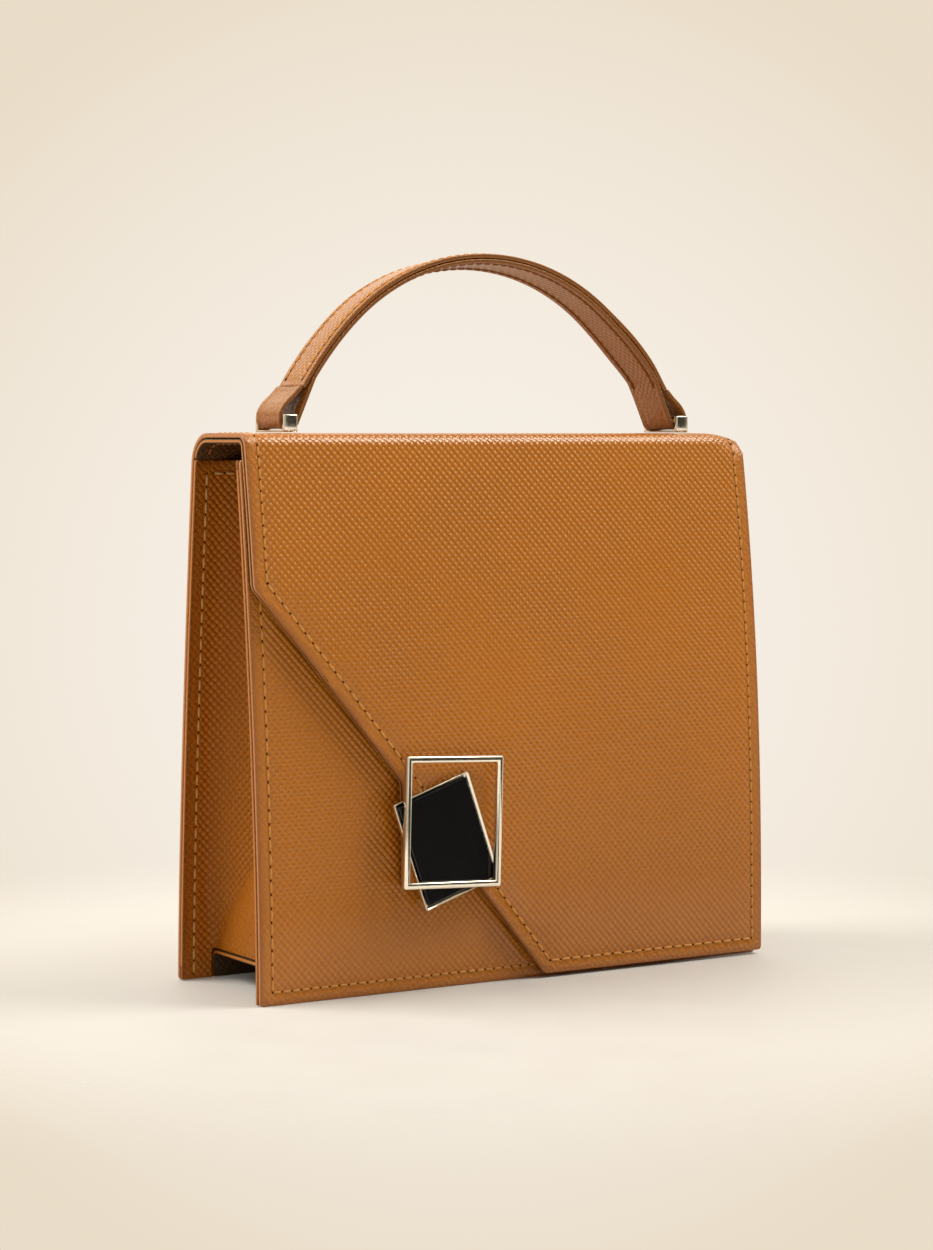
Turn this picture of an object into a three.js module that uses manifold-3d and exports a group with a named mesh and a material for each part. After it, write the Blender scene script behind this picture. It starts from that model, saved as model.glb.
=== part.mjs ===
// Structured leather flap handbag with a top handle and a framed enamel clasp.
// Millimetres. X runs along the width, Y from front to back, Z up from the surface the bag stands on.

import * as THREE from 'three';
import { mergeVertices } from 'three/addons/utils/BufferGeometryUtils.js';
import Module from 'manifold-3d';

// Leather and clearances
const WIDTH = 200;
const LEATHER = 1.7;
const LINING = 1.4;
const GAP = 0.3;
const CORNER = 1.5;

// Cutting blocks reach past what they cut
const TRIM_MARGIN = 6;
const BEYOND = 60;

// Walls: depth = foot - lean * (z / top) ^ curve, so each wall leans in as it rises
const BACK = { foot: 30.4, lean: 12.0, top: 172, curve: 1.4 };
const FRONT = { foot: -29.8, lean: -12.3, top: 176, curve: 1.8 };
const FLAP = { foot: -33.8, lean: -12.8, top: 181, curve: 2.3 };
const WALL_STEPS = 14;
const FRONT_HEIGHT = 177;

// Top of the bag, with a wide bend to the back and a tight one to the flap
const TOP_HEIGHT = 185.5;
const BACK_BEND = 11;
const FLAP_BEND = 5;
const BEND_STEPS = 8;
const LINING_START_DEG = 16;

// Flap edge: left side, one slanted cut, a square tab behind the clasp, straight hem
const FLAP_LEFT_Z = 135.5;
const FLAP_FOOT_X = 7.5;
const FLAP_HEM_Z = 1.5;
const TAB_X = -47.5;
const TAB_Z = 35;

// Gusset: flanges on both panels, a web between them, and a fold that starts as a triangle
const FLANGE = 12;
const GUSSET_HEIGHT = 176.5;
const GUSSET_HALF_STRIP = 26.8;
const FOLD_APEX_Z = 55;
const CREASE_HALF = 0.8;
const FOLD_SHARES = [0, 0.35, 0.7];
const FOLD_START = 0.02;
const UPPER_LEVELS = 10;

// Base channel, raised between the panels
const BASE_HEIGHT = 10;
const BASE_END_GAP = 0.1;

// Handle: outer line is an arc with two curved legs
const HANDLE_CENTRE_Y = -1.8;
const HANDLE_WIDTH = 16.5;
const STRAP = 1.5;
const HANDLE_ARC = { centreZ: 169, radius: 78, endX: 52 };
const HANDLE_LEG = { bendX: 63.75, bendZ: 216.6, endX: 73.5, endZ: 201 };
const HANDLE_STEPS = 12;
const HOOK_STEPS = 26;

// Brackets with their pins
const BRACKET_X = 78.4;
const BRACKET_WIDTH = 5.8;
const POST = 2;
const BRACKET_BASE = 0.7;
const POST_TOP_Z = 191.6;
const POST_ROUND = 0.6;
const PIN_Z = 189.9;
const PIN_RADIUS = 1.3;
const PIN_SIDES = 16;

// Middle line of the lining's looped end, from the outer bulge, round the pin, to the inner leg
const HOOK = [
  { x: 75.8, z: 197.3 },
  { x: 79.0, z: 195.0 },
  { x: 81.1, z: 191.9 },
  { x: 80.2, z: 188.5 },
  { x: 78.4, z: 187.6 },
  { x: 76.4, z: 188.8 },
];

// Clasp: an enamelled tray turned on its corner, with an upright frame soldered over it
const TRAY = { x: -31.7, z: 50.0, width: 30.4, height: 38, depth: 2.2, turnDeg: 18.4 };
const TRAY_FLOOR = 0.9;
const TRAY_RIM = 1.0;
const ENAMEL_SET_BACK = 0.3;
const FRAME = { x: -31.2, z: 56.4, width: 37.7, height: 44, depth: 3.2, turnDeg: -2.6 };
const FRAME_BAR = 2.6;
const FRAME_BEVEL = 0.7;
const SOLDER = 0.05;

const wasm = await Module();
wasm.setup();

const LEATHER_LOOK = { color: 0xa8672f, roughness: 0.5, metalness: 0 };
const GUSSET_LOOK = { color: 0x7d4822, roughness: 0.55, metalness: 0 };
const GOLD_LOOK = { color: 0xd8c49a, roughness: 0.18, metalness: 1 };
const ENAMEL_LOOK = { color: 0x0b0b0c, roughness: 0.08, metalness: 0 };

const X_AXIS = new THREE.Vector3(1, 0, 0);
const Y_AXIS = new THREE.Vector3(0, 1, 0);
const Z_AXIS = new THREE.Vector3(0, 0, 1);
const SIDE_PLANE = new THREE.Matrix4().makeBasis(Y_AXIS, Z_AXIS, X_AXIS);
const FRONT_PLANE = new THREE.Matrix4().makeBasis(X_AXIS, Z_AXIS, Y_AXIS.clone().negate());

const radians = THREE.MathUtils.degToRad;
const lerp = THREE.MathUtils.lerp;

// Solids for joins and cuts

function toSolid(geometry) {
  const bare = geometry.clone();
  bare.deleteAttribute('normal');
  bare.deleteAttribute('uv');
  const merged = mergeVertices(bare, 1e-4);
  const vertProperties = new Float32Array(merged.attributes.position.array);
  const triVerts = new Uint32Array(merged.index.array);
  return new wasm.Manifold(new wasm.Mesh({ numProp: 3, vertProperties, triVerts }));
}

function toGeometry(solid) {
  const mesh = solid.getMesh();
  const geometry = new THREE.BufferGeometry();
  geometry.setAttribute('position', new THREE.BufferAttribute(mesh.vertProperties, 3));
  geometry.setIndex(new THREE.BufferAttribute(mesh.triVerts, 1));
  geometry.computeVertexNormals();
  return geometry;
}

function boxSolid(low, high) {
  const size = high.map((value, axis) => value - low[axis]);
  const box = new THREE.BoxGeometry(...size);
  box.translate(...high.map((value, axis) => (value + low[axis]) / 2));
  return toSolid(box);
}

// Outlines in a plane

function offsetLine(points, distance, flatEnds = false) {
  const last = points.length - 1;
  const normals = points.slice(1).map((point, i) => {
    const along = point.clone().sub(points[i]).normalize();
    return new THREE.Vector2(-along.y, along.x);
  });
  const flat = (normal) => new THREE.Vector2(Math.sign(normal.x), 0);
  return points.map((point, i) => {
    if (i > 0 && i < last) {
      const miter = normals[i - 1].clone().add(normals[i]).normalize();
      return point.clone().addScaledVector(miter, distance / miter.dot(normals[i]));
    }
    const end = normals[i === 0 ? 0 : last - 1];
    return point.clone().addScaledVector(flatEnds ? flat(end) : end, distance);
  });
}

function band(points, near, far, flatEnds = false) {
  const nearSide = offsetLine(points, near, flatEnds);
  const farSide = offsetLine(points, far, flatEnds).reverse();
  return nearSide.concat(farSide);
}

function roundedShape(corners) {
  const shape = new THREE.Shape();
  corners.forEach((corner, i) => {
    const here = new THREE.Vector2(corner.x, corner.z);
    const before = corners[(i + corners.length - 1) % corners.length];
    const after = corners[(i + 1) % corners.length];
    const toward = (other) => {
      const step = new THREE.Vector2(other.x, other.z).sub(here).setLength(corner.round ?? 0);
      return here.clone().add(step);
    };
    const enter = toward(before);
    const leave = toward(after);
    if (i === 0) {
      shape.moveTo(enter.x, enter.y);
    } else {
      shape.lineTo(enter.x, enter.y);
    }
    if (corner.round) {
      shape.quadraticCurveTo(here.x, here.y, leave.x, leave.y);
    }
  });
  shape.closePath();
  return shape;
}

function rectangle(width, height, round) {
  return roundedShape([
    { x: -width / 2, z: -height / 2, round },
    { x: width / 2, z: -height / 2, round },
    { x: width / 2, z: height / 2, round },
    { x: -width / 2, z: height / 2, round },
  ]);
}

function extrude(shape, depth) {
  return new THREE.ExtrudeGeometry(shape, { depth, bevelEnabled: false, curveSegments: 4 });
}

// A side outline (y, z) drawn along X, and a front outline (x, z) drawn along Y
function alongX(points, length) {
  const geometry = extrude(new THREE.Shape(points), length);
  geometry.translate(0, 0, -length / 2);
  return geometry.applyMatrix4(SIDE_PLANE);
}

function alongY(shape, lowY, highY) {
  const geometry = extrude(shape, highY - lowY);
  geometry.applyMatrix4(FRONT_PLANE);
  return geometry.translate(0, highY, 0);
}

// Cuts away what lies outside a front outline, between two depths
function trimToOutline(solid, shape, lowY, highY) {
  const block = boxSolid([-WIDTH, lowY, -BEYOND], [WIDTH, highY, TOP_HEIGHT + CORNER]);
  const kept = toSolid(alongY(shape, lowY - CORNER, highY + CORNER));
  return solid.subtract(block.subtract(kept));
}

// Rings of equal length joined into a closed skin
function loft(rings) {
  const count = rings[0].length;
  const positions = rings.flat().flatMap((point) => point.toArray());
  const index = [];
  for (let level = 0; level < rings.length - 1; level += 1) {
    for (let i = 0; i < count; i += 1) {
      const a = level * count + i;
      const b = level * count + ((i + 1) % count);
      index.push(a, b, b + count, a, b + count, a + count);
    }
  }
  const cap = (ring) => {
    const outline = ring.map((point) => new THREE.Vector2(point.x, point.y));
    return THREE.ShapeUtils.triangulateShape(outline, []);
  };
  const top = (rings.length - 1) * count;
  cap(rings[0]).forEach(([a, b, c]) => index.push(a, c, b));
  cap(rings.at(-1)).forEach(([a, b, c]) => index.push(top + a, top + b, top + c));
  const geometry = new THREE.BufferGeometry();
  geometry.setAttribute('position', new THREE.Float32BufferAttribute(positions, 3));
  geometry.setIndex(index);
  return geometry;
}

// Side profile of the bag

function wallDepth(wall, z) {
  return wall.foot - wall.lean * (z / wall.top) ** wall.curve;
}

function wallLean(wall, z) {
  return Math.atan((Math.abs(wall.lean) * wall.curve * (z / wall.top) ** (wall.curve - 1)) / wall.top);
}

function wallLine(wall, lowZ, highZ) {
  return Array.from({ length: WALL_STEPS + 1 }, (_, i) => {
    const z = lerp(lowZ, highZ, i / WALL_STEPS);
    return new THREE.Vector2(wallDepth(wall, z), z);
  });
}

// The bend that carries a wall over into the top
function topBend(wall, radius) {
  const side = Math.sign(wall.foot);
  const centreZ = TOP_HEIGHT - radius;
  const lean = wallLean(wall, centreZ);
  const wallTop = centreZ + radius * Math.sin(lean);
  const centreY = wallDepth(wall, wallTop) - side * radius * Math.cos(lean);
  return { centreY, centreZ, radius, lean, wallTop };
}

function bendLine(bend, startAngle, endAngle) {
  const arc = new THREE.EllipseCurve(
    bend.centreY, bend.centreZ, bend.radius, bend.radius, startAngle, endAngle,
  );
  return arc.getPoints(BEND_STEPS);
}

// Outer line from the back over the top to the hem of the flap
function coverLine(startAngle) {
  const back = topBend(BACK, BACK_BEND);
  const flap = topBend(FLAP, FLAP_BEND);
  return [
    ...bendLine(back, startAngle ?? back.lean, Math.PI / 2),
    ...bendLine(flap, Math.PI / 2, Math.PI - flap.lean),
    ...wallLine(FLAP, FLAP_HEM_Z, flap.wallTop).reverse().slice(1),
  ];
}

function slantX(z) {
  const share = (FLAP_LEFT_Z - z) / (FLAP_LEFT_Z - FLAP_HEM_Z);
  return lerp(-WIDTH / 2, FLAP_FOOT_X, share);
}

function slantZ(x) {
  const share = (x + WIDTH / 2) / (FLAP_FOOT_X + WIDTH / 2);
  return lerp(FLAP_LEFT_Z, FLAP_HEM_Z, share);
}

function flapOutline() {
  const above = TOP_HEIGHT + 2 * CORNER;
  return roundedShape([
    { x: -WIDTH / 2, z: above },
    { x: -WIDTH / 2, z: FLAP_LEFT_Z, round: CORNER },
    { x: TAB_X, z: slantZ(TAB_X) },
    { x: TAB_X, z: TAB_Z, round: CORNER },
    { x: slantX(TAB_Z), z: TAB_Z },
    { x: FLAP_FOOT_X, z: FLAP_HEM_Z, round: CORNER },
    { x: WIDTH / 2, z: FLAP_HEM_Z, round: CORNER },
    { x: WIDTH / 2, z: above },
  ]);
}

function panelOutline(height, topRound) {
  return roundedShape([
    { x: -WIDTH / 2, z: 0, round: CORNER },
    { x: WIDTH / 2, z: 0, round: CORNER },
    { x: WIDTH / 2, z: height, round: topRound },
    { x: -WIDTH / 2, z: height, round: topRound },
  ]);
}

function backAndFlap() {
  const backTop = topBend(BACK, BACK_BEND).wallTop;
  const line = [...wallLine(BACK, 0, backTop).slice(0, -1), ...coverLine()];
  const sheet = toSolid(alongX(band(line, 0, LEATHER, true), WIDTH + TRIM_MARGIN));
  const backCut = trimToOutline(sheet, panelOutline(TOP_HEIGHT + 2 * CORNER, 0), -GAP, BEYOND);
  return toGeometry(trimToOutline(backCut, flapOutline(), -BEYOND, GAP));
}

function flapLining() {
  const near = LEATHER + GAP;
  const line = coverLine(radians(LINING_START_DEG));
  const sheet = toSolid(alongX(band(line, near, near + LINING, true), WIDTH + TRIM_MARGIN));
  return toGeometry(trimToOutline(sheet, flapOutline(), -BEYOND, BEYOND));
}

function frontPanel() {
  const line = wallLine(FRONT, 0, FRONT_HEIGHT).reverse();
  const sheet = toSolid(alongX(band(line, 0, LEATHER, true), WIDTH + TRIM_MARGIN));
  return toGeometry(trimToOutline(sheet, panelOutline(FRONT_HEIGHT, CORNER), -BEYOND, BEYOND));
}

// Depth of a panel's inner face, where a flange lies against it
function seatDepth(wall, z) {
  return wallDepth(wall, z) - Math.sign(wall.foot) * (LEATHER + GAP);
}

// Section of the left gusset at one height, as the line of its outer face
function gussetSection(z) {
  const back = seatDepth(BACK, z) - LEATHER;
  const front = seatDepth(FRONT, z) + LEATHER;
  const middle = (back + front) / 2;
  const half = (back - front) / 2;
  const webX = -WIDTH / 2 + FLANGE;
  const foldDepth = Math.sqrt(GUSSET_HALF_STRIP ** 2 - half ** 2);
  const foot = BASE_HEIGHT + GAP;
  const opened = THREE.MathUtils.clamp((z - foot) / (FOLD_APEX_Z - foot), FOLD_START, 1);
  const creaseX = webX + foldDepth * opened;
  const creaseHalf = lerp(half - CREASE_HALF, CREASE_HALF, opened);
  return [
    new THREE.Vector2(-WIDTH / 2, back),
    new THREE.Vector2(webX, back),
    new THREE.Vector2(creaseX, middle + creaseHalf),
    new THREE.Vector2(creaseX, middle - creaseHalf),
    new THREE.Vector2(webX, front),
    new THREE.Vector2(-WIDTH / 2, front),
  ];
}

function gusset(side) {
  const foot = BASE_HEIGHT + GAP;
  const lower = FOLD_SHARES.map((share) => lerp(foot, FOLD_APEX_Z, share));
  const upper = Array.from({ length: UPPER_LEVELS }, (_, i) => {
    return lerp(FOLD_APEX_Z, GUSSET_HEIGHT, i / (UPPER_LEVELS - 1));
  });
  const levels = [GAP, ...lower, ...upper];
  const rings = levels.map((z) => {
    const ring = band(gussetSection(z), 0, LEATHER);
    return ring.map((point) => new THREE.Vector3(point.x, point.y, z));
  });
  const webEdge = -WIDTH / 2 + FLANGE - GAP / 2;
  const underWeb = boxSolid([webEdge, -BEYOND, -CORNER], [0, BEYOND, foot]);
  const left = toGeometry(toSolid(loft(rings)).subtract(underWeb));
  return side < 0 ? left : mirrored(left);
}

// Mirror across the middle plane, with the faces turned to stay outward
function mirrored(geometry) {
  const copy = geometry.clone().scale(-1, 1, 1);
  const index = copy.index.array;
  for (let i = 0; i < index.length; i += 3) {
    const second = index[i + 1];
    index[i + 1] = index[i + 2];
    index[i + 2] = second;
  }
  return copy;
}

function baseChannel() {
  const line = [
    new THREE.Vector2(seatDepth(BACK, GAP), GAP),
    new THREE.Vector2(seatDepth(BACK, BASE_HEIGHT), BASE_HEIGHT),
    new THREE.Vector2(seatDepth(FRONT, BASE_HEIGHT), BASE_HEIGHT),
    new THREE.Vector2(seatDepth(FRONT, GAP), GAP),
  ];
  return alongX(band(line, 0, LEATHER, true), WIDTH - 2 * FLANGE - 2 * BASE_END_GAP);
}

// Handle

function handleLine() {
  const end = Math.acos(HANDLE_ARC.endX / HANDLE_ARC.radius);
  const shoulderZ = HANDLE_ARC.centreZ + HANDLE_ARC.radius * Math.sin(end);
  const path = new THREE.Path();
  path.moveTo(HANDLE_LEG.endX, HANDLE_LEG.endZ);
  path.quadraticCurveTo(HANDLE_LEG.bendX, HANDLE_LEG.bendZ, HANDLE_ARC.endX, shoulderZ);
  path.absarc(0, HANDLE_ARC.centreZ, HANDLE_ARC.radius, end, Math.PI - end, false);
  path.quadraticCurveTo(-HANDLE_LEG.bendX, HANDLE_LEG.bendZ, -HANDLE_LEG.endX, HANDLE_LEG.endZ);
  return path.getPoints(HANDLE_STEPS);
}

function handlePiece(points, near, far) {
  const low = HANDLE_CENTRE_Y - HANDLE_WIDTH / 2;
  return alongY(new THREE.Shape(band(points, near, far)), low, low + HANDLE_WIDTH);
}

function handleStrap() {
  return handlePiece(handleLine(), 0, STRAP);
}

function handleLining() {
  const middle = offsetLine(handleLine(), STRAP + GAP + LINING / 2);
  const outer = handleLine();
  const along = outer[0].clone().sub(outer[1]).normalize();
  const inward = middle[0].clone().sub(outer[0]).normalize();
  const tongueEnd = outer[0].clone().addScaledVector(along, GAP).addScaledVector(inward, LINING / 2);
  const route = [tongueEnd, ...HOOK.map((row) => new THREE.Vector2(row.x, row.z)), middle[0]];
  const hook = new THREE.SplineCurve(route).getPoints(HOOK_STEPS).slice(0, -1);
  const otherHook = hook.map((point) => new THREE.Vector2(-point.x, point.y)).reverse();
  return handlePiece([...hook, ...middle, ...otherHook], -LINING / 2, LINING / 2);
}

function bracket() {
  const inner = HANDLE_WIDTH / 2 + GAP;
  const outer = inner + POST;
  const baseZ = TOP_HEIGHT + GAP;
  const floorZ = baseZ + BRACKET_BASE;
  const outline = roundedShape([
    { x: -outer, z: baseZ },
    { x: outer, z: baseZ },
    { x: outer, z: POST_TOP_Z, round: POST_ROUND },
    { x: inner, z: POST_TOP_Z, round: POST_ROUND },
    { x: inner, z: floorZ },
    { x: -inner, z: floorZ },
    { x: -inner, z: POST_TOP_Z, round: POST_ROUND },
    { x: -outer, z: POST_TOP_Z, round: POST_ROUND },
  ]);
  const frame = extrude(outline, BRACKET_WIDTH);
  frame.translate(0, 0, -BRACKET_WIDTH / 2);
  frame.applyMatrix4(SIDE_PLANE);
  const pin = new THREE.CylinderGeometry(PIN_RADIUS, PIN_RADIUS, 2 * inner + POST, PIN_SIDES);
  pin.translate(0, 0, PIN_Z);
  return toGeometry(toSolid(frame).add(toSolid(pin)));
}

// Clasp, drawn flat with its back at z = 0 and its face towards +z

function turned(geometry, place) {
  geometry.rotateZ(radians(place.turnDeg));
  return geometry.translate(place.x - TRAY.x, place.z - TRAY.z, 0);
}

function claspSetting() {
  const plate = toSolid(extrude(rectangle(TRAY.width, TRAY.height, TRAY_RIM / 2), TRAY.depth));
  const recess = extrude(rectangle(TRAY.width - 2 * TRAY_RIM, TRAY.height - 2 * TRAY_RIM, 0), TRAY.depth);
  const tray = plate.subtract(toSolid(recess.translate(0, 0, TRAY_FLOOR)));
  const outline = rectangle(FRAME.width, FRAME.height, 0);
  outline.holes.push(rectangle(FRAME.width - 2 * FRAME_BAR, FRAME.height - 2 * FRAME_BAR, 0));
  const bars = new THREE.ExtrudeGeometry(outline, {
    depth: FRAME.depth - 2 * FRAME_BEVEL,
    bevelThickness: FRAME_BEVEL,
    bevelSize: FRAME_BEVEL,
    bevelOffset: -FRAME_BEVEL,
    bevelSegments: 1,
  });
  bars.translate(0, 0, TRAY.depth + FRAME_BEVEL - SOLDER);
  const turn = new THREE.Matrix4().makeRotationZ(radians(TRAY.turnDeg));
  const turnedTray = toSolid(toGeometry(tray).applyMatrix4(turn));
  return toGeometry(turnedTray.add(toSolid(turned(bars, FRAME))));
}

function claspEnamel() {
  const margin = 2 * (TRAY_RIM + GAP);
  const low = TRAY_FLOOR + GAP;
  const thickness = TRAY.depth - ENAMEL_SET_BACK - low;
  const geometry = extrude(rectangle(TRAY.width - margin, TRAY.height - margin, 0), thickness);
  return turned(geometry.translate(0, 0, low), TRAY);
}

// Assembly

function piece(name, geometry, look) {
  const mesh = new THREE.Mesh(geometry, new THREE.MeshStandardMaterial(look));
  mesh.name = name;
  return mesh;
}

const body = new THREE.Group();
body.add(piece('back_and_flap', backAndFlap(), LEATHER_LOOK));
body.add(piece('flap_lining', flapLining(), LEATHER_LOOK));
body.add(piece('front_panel', frontPanel(), LEATHER_LOOK));
body.add(piece('gusset_left', gusset(-1), GUSSET_LOOK));
body.add(piece('gusset_right', gusset(1), GUSSET_LOOK));
body.add(piece('base_channel', baseChannel(), GUSSET_LOOK));
body.add(piece('handle_strap', handleStrap(), LEATHER_LOOK));
body.add(piece('handle_lining', handleLining(), LEATHER_LOOK));
for (const [name, side] of [['bracket_left', -1], ['bracket_right', 1]]) {
  const mesh = piece(name, bracket(), GOLD_LOOK);
  mesh.position.set(side * BRACKET_X, HANDLE_CENTRE_Y, 0);
  body.add(mesh);
}

// The clasp lies on the flap, leaning with it
const clasp = new THREE.Group();
clasp.add(piece('clasp_setting', claspSetting(), GOLD_LOOK));
clasp.add(piece('clasp_enamel', claspEnamel(), ENAMEL_LOOK));
clasp.rotation.x = Math.PI / 2 - wallLean(FLAP, TRAY.z);
clasp.position.set(TRAY.x, wallDepth(FLAP, TRAY.z) - GAP, TRAY.z);
body.add(clasp);

// Origin on the surface, in the middle of the bag's whole footprint
const bounds = new THREE.Box3().setFromObject(body, true);
body.position.y = -(bounds.min.y + bounds.max.y) / 2;

const bag = new THREE.Group();
bag.add(body);

export default bag;
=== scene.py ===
# %% [markdown]
# A small structured leather handbag: one sheet of embossed leather makes the back, the top and a
# slanted flap, two folded gussets close the sides, an arched handle stands on two metal brackets,
# and a framed enamel clasp sits on the flap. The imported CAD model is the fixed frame, so every new
# piece is drawn at the place that the CAD gives. It is loaded first, and its box is kept for later.

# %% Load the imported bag
import math
from functools import partial

import bmesh
import bpy
from mathutils import Matrix, Vector


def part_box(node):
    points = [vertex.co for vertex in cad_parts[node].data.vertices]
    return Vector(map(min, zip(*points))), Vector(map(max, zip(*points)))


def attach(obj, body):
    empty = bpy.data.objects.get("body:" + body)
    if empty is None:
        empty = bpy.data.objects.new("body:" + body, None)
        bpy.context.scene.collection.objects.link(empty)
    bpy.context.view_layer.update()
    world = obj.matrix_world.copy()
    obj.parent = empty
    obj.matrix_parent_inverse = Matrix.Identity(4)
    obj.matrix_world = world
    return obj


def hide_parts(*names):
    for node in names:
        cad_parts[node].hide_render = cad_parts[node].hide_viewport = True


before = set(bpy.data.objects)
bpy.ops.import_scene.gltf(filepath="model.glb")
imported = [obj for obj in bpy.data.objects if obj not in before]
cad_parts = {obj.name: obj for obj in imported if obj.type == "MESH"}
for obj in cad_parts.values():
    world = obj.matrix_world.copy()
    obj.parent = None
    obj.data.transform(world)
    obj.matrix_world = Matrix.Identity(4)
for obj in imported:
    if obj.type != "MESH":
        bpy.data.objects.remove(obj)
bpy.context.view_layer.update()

print("packed nodes:", sorted(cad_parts))

# %% [markdown]
# A leather worker thinks in millimetres, so the lesson does too, and each finished mesh is scaled to
# metres once. Depths are easiest to read from the middle of the bag's body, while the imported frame
# is centred on the whole footprint with the clasp. The back's foot gives the shift between the two.

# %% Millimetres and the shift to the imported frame
MM = 0.001
BACK_FOOT = 30.4
SHIFT_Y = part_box("back_and_flap")[1].y / MM - BACK_FOOT
TO_FRAME = Matrix.Scale(MM, 4) @ Matrix.Translation((0, SHIFT_Y, 0))
print(f"body depths are shifted by {SHIFT_Y:.3f} mm")

# %% [markdown]
# The photograph was taken from the front left, a little above the middle of the bag, with a long
# lens. A camera fitted to the bag's corners gave the numbers here. The long side of the picture
# takes the whole sensor, so the lens follows from the focal length in pixels.

# %% Camera
FOCAL_PIXELS = 3007
PICTURE_HEIGHT = 1250
SENSOR = 36
NEAREST_SEEN = 0.01
CAMERA_TURN = math.radians(31.92)
CAMERA_RISE = math.radians(3.58)
CAMERA_DISTANCE = 1041
CAMERA_TARGET = Vector((-3.1, 0, 119.2))

camera_data = bpy.data.cameras.new("camera")
camera_data.sensor_width = SENSOR
camera_data.lens = FOCAL_PIXELS / PICTURE_HEIGHT * SENSOR
camera_data.clip_start = NEAREST_SEEN
camera = bpy.data.objects.new("camera", camera_data)
bpy.context.scene.collection.objects.link(camera)
towards_camera = Vector((
    -math.sin(CAMERA_TURN) * math.cos(CAMERA_RISE),
    -math.cos(CAMERA_TURN) * math.cos(CAMERA_RISE),
    math.sin(CAMERA_RISE),
))
camera.location = TO_FRAME @ (CAMERA_TARGET + CAMERA_DISTANCE * towards_camera)
camera.rotation_euler = (-towards_camera).to_track_quat("-Z", "Y").to_euler()
bpy.context.scene.camera = camera
print("camera at", [round(value, 3) for value in camera.location], "lens", round(camera_data.lens, 1))

# %% [markdown]
# A finish in Blender is a small tree of nodes, and writing out each node would make long cells. These
# helpers add one node at a time. A word names the socket that a value feeds, and i with a number names
# it by its place. A plain value is set on the socket, and another node's output is linked to it. Noise
# seldom leaves the middle of its range, so that middle is what gets stretched. It is given as a scale,
# its detail and, where that matters, its roughness.

# %% Helpers for node trees
NOISE_RANGE = (0.3, 0.7)


def new_material(name):
    material = bpy.data.materials.new(name)
    material.use_nodes = True
    material.node_tree.nodes.clear()
    return material, material.node_tree


def add_node(tree, kind, settings=None, **inputs):
    node = tree.nodes.new(kind)
    for key, value in (settings or {}).items():
        setattr(node, key, value)
    for key, value in inputs.items():
        by_place = key[1:].isdigit()
        socket = node.inputs[int(key[1:])] if by_place else node.inputs[key.replace("_", " ")]
        if isinstance(value, bpy.types.NodeSocket):
            tree.links.new(value, socket)
        else:
            socket.default_value = value
    return node


def math_node(tree, operation, *values):
    inputs = {f"i{place}": value for place, value in enumerate(values)}
    return add_node(tree, "ShaderNodeMath", {"operation": operation}, **inputs).outputs[0]


def vector_node(tree, operation, *values):
    inputs = {f"i{place}": value for place, value in enumerate(values)}
    return add_node(tree, "ShaderNodeVectorMath", {"operation": operation}, **inputs).outputs["Value"]


def map_range(tree, value, low, high, to_low, to_high, smooth=False):
    settings = {"interpolation_type": "SMOOTHSTEP"} if smooth else {}
    inputs = {"i0": value, "i1": low, "i2": high, "i3": to_low, "i4": to_high}
    return add_node(tree, "ShaderNodeMapRange", settings, **inputs).outputs[0]


def mix_colours(tree, share, first, second):
    settings = {"data_type": "RGBA"}
    return add_node(tree, "ShaderNodeMix", settings, i0=share, i6=first, i7=second).outputs[2]


def noise(tree, vector, scale, detail=2.0, roughness=0.5):
    inputs = {"Vector": vector, "Scale": scale, "Detail": detail, "Roughness": roughness}
    return add_node(tree, "ShaderNodeTexNoise", **inputs).outputs[0]


def object_place(tree):
    return add_node(tree, "ShaderNodeTexCoord").outputs["Object"]


def darker(colour, share):
    return [channel * share for channel in colour[:3]] + [1]


def close_material(tree, shader):
    output = tree.nodes.new("ShaderNodeOutputMaterial")
    tree.links.new(shader.outputs[0], output.inputs[0])


print("half of a white:", darker((1.0, 1.0, 1.0, 1), 0.5))

# %% [markdown]
# The bag stands on a plain cream table, and a flat disc is enough for that. A table with an edge would
# put a hard line behind the bag, so the paint fades out with the distance from the middle, and the
# pale backdrop takes over. The fade begins gently close to the bag, and ends a hand's width further.

# %% Table top
TABLE_RADIUS = 0.8
TABLE_SIDES = 96
NEAR_FADE = (0.06, 0.15)
FAR_FADE = (0.15, 0.31)
NEAR_SHARE = 0.38
TABLE_CREAM = (0.555, 0.56, 0.555, 1)
TABLE_MOTTLE = (40, 3)
TABLE_ROUGHNESS = (0.5, 0.65)

table_finish, tree = new_material("cream_table")
place = object_place(tree)
distance = vector_node(tree, "LENGTH", place)
near = map_range(tree, distance, *NEAR_FADE, 0.0, NEAR_SHARE, smooth=True)
far = map_range(tree, distance, *FAR_FADE, 0.0, 1 - NEAR_SHARE, smooth=True)
fade = math_node(tree, "ADD", near, far)
mottle = noise(tree, place, *TABLE_MOTTLE)
roughness = map_range(tree, mottle, *NOISE_RANGE, *TABLE_ROUGHNESS)
paint = add_node(tree, "ShaderNodeBsdfPrincipled", Base_Color=TABLE_CREAM, Roughness=roughness)
clear = add_node(tree, "ShaderNodeBsdfTransparent")
blend = add_node(tree, "ShaderNodeMixShader", i0=fade, i1=paint.outputs[0], i2=clear.outputs[0])
close_material(tree, blend)

table_mesh = bmesh.new()
bmesh.ops.create_circle(table_mesh, cap_ends=True, segments=TABLE_SIDES, radius=TABLE_RADIUS)
table_data = bpy.data.meshes.new("table")
table_mesh.to_mesh(table_data)
table_mesh.free()
table_data.materials.append(table_finish)
table = bpy.data.objects.new("table", table_data)
bpy.context.scene.collection.objects.link(table)
print("table top of", TABLE_RADIUS, "m radius")

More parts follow.
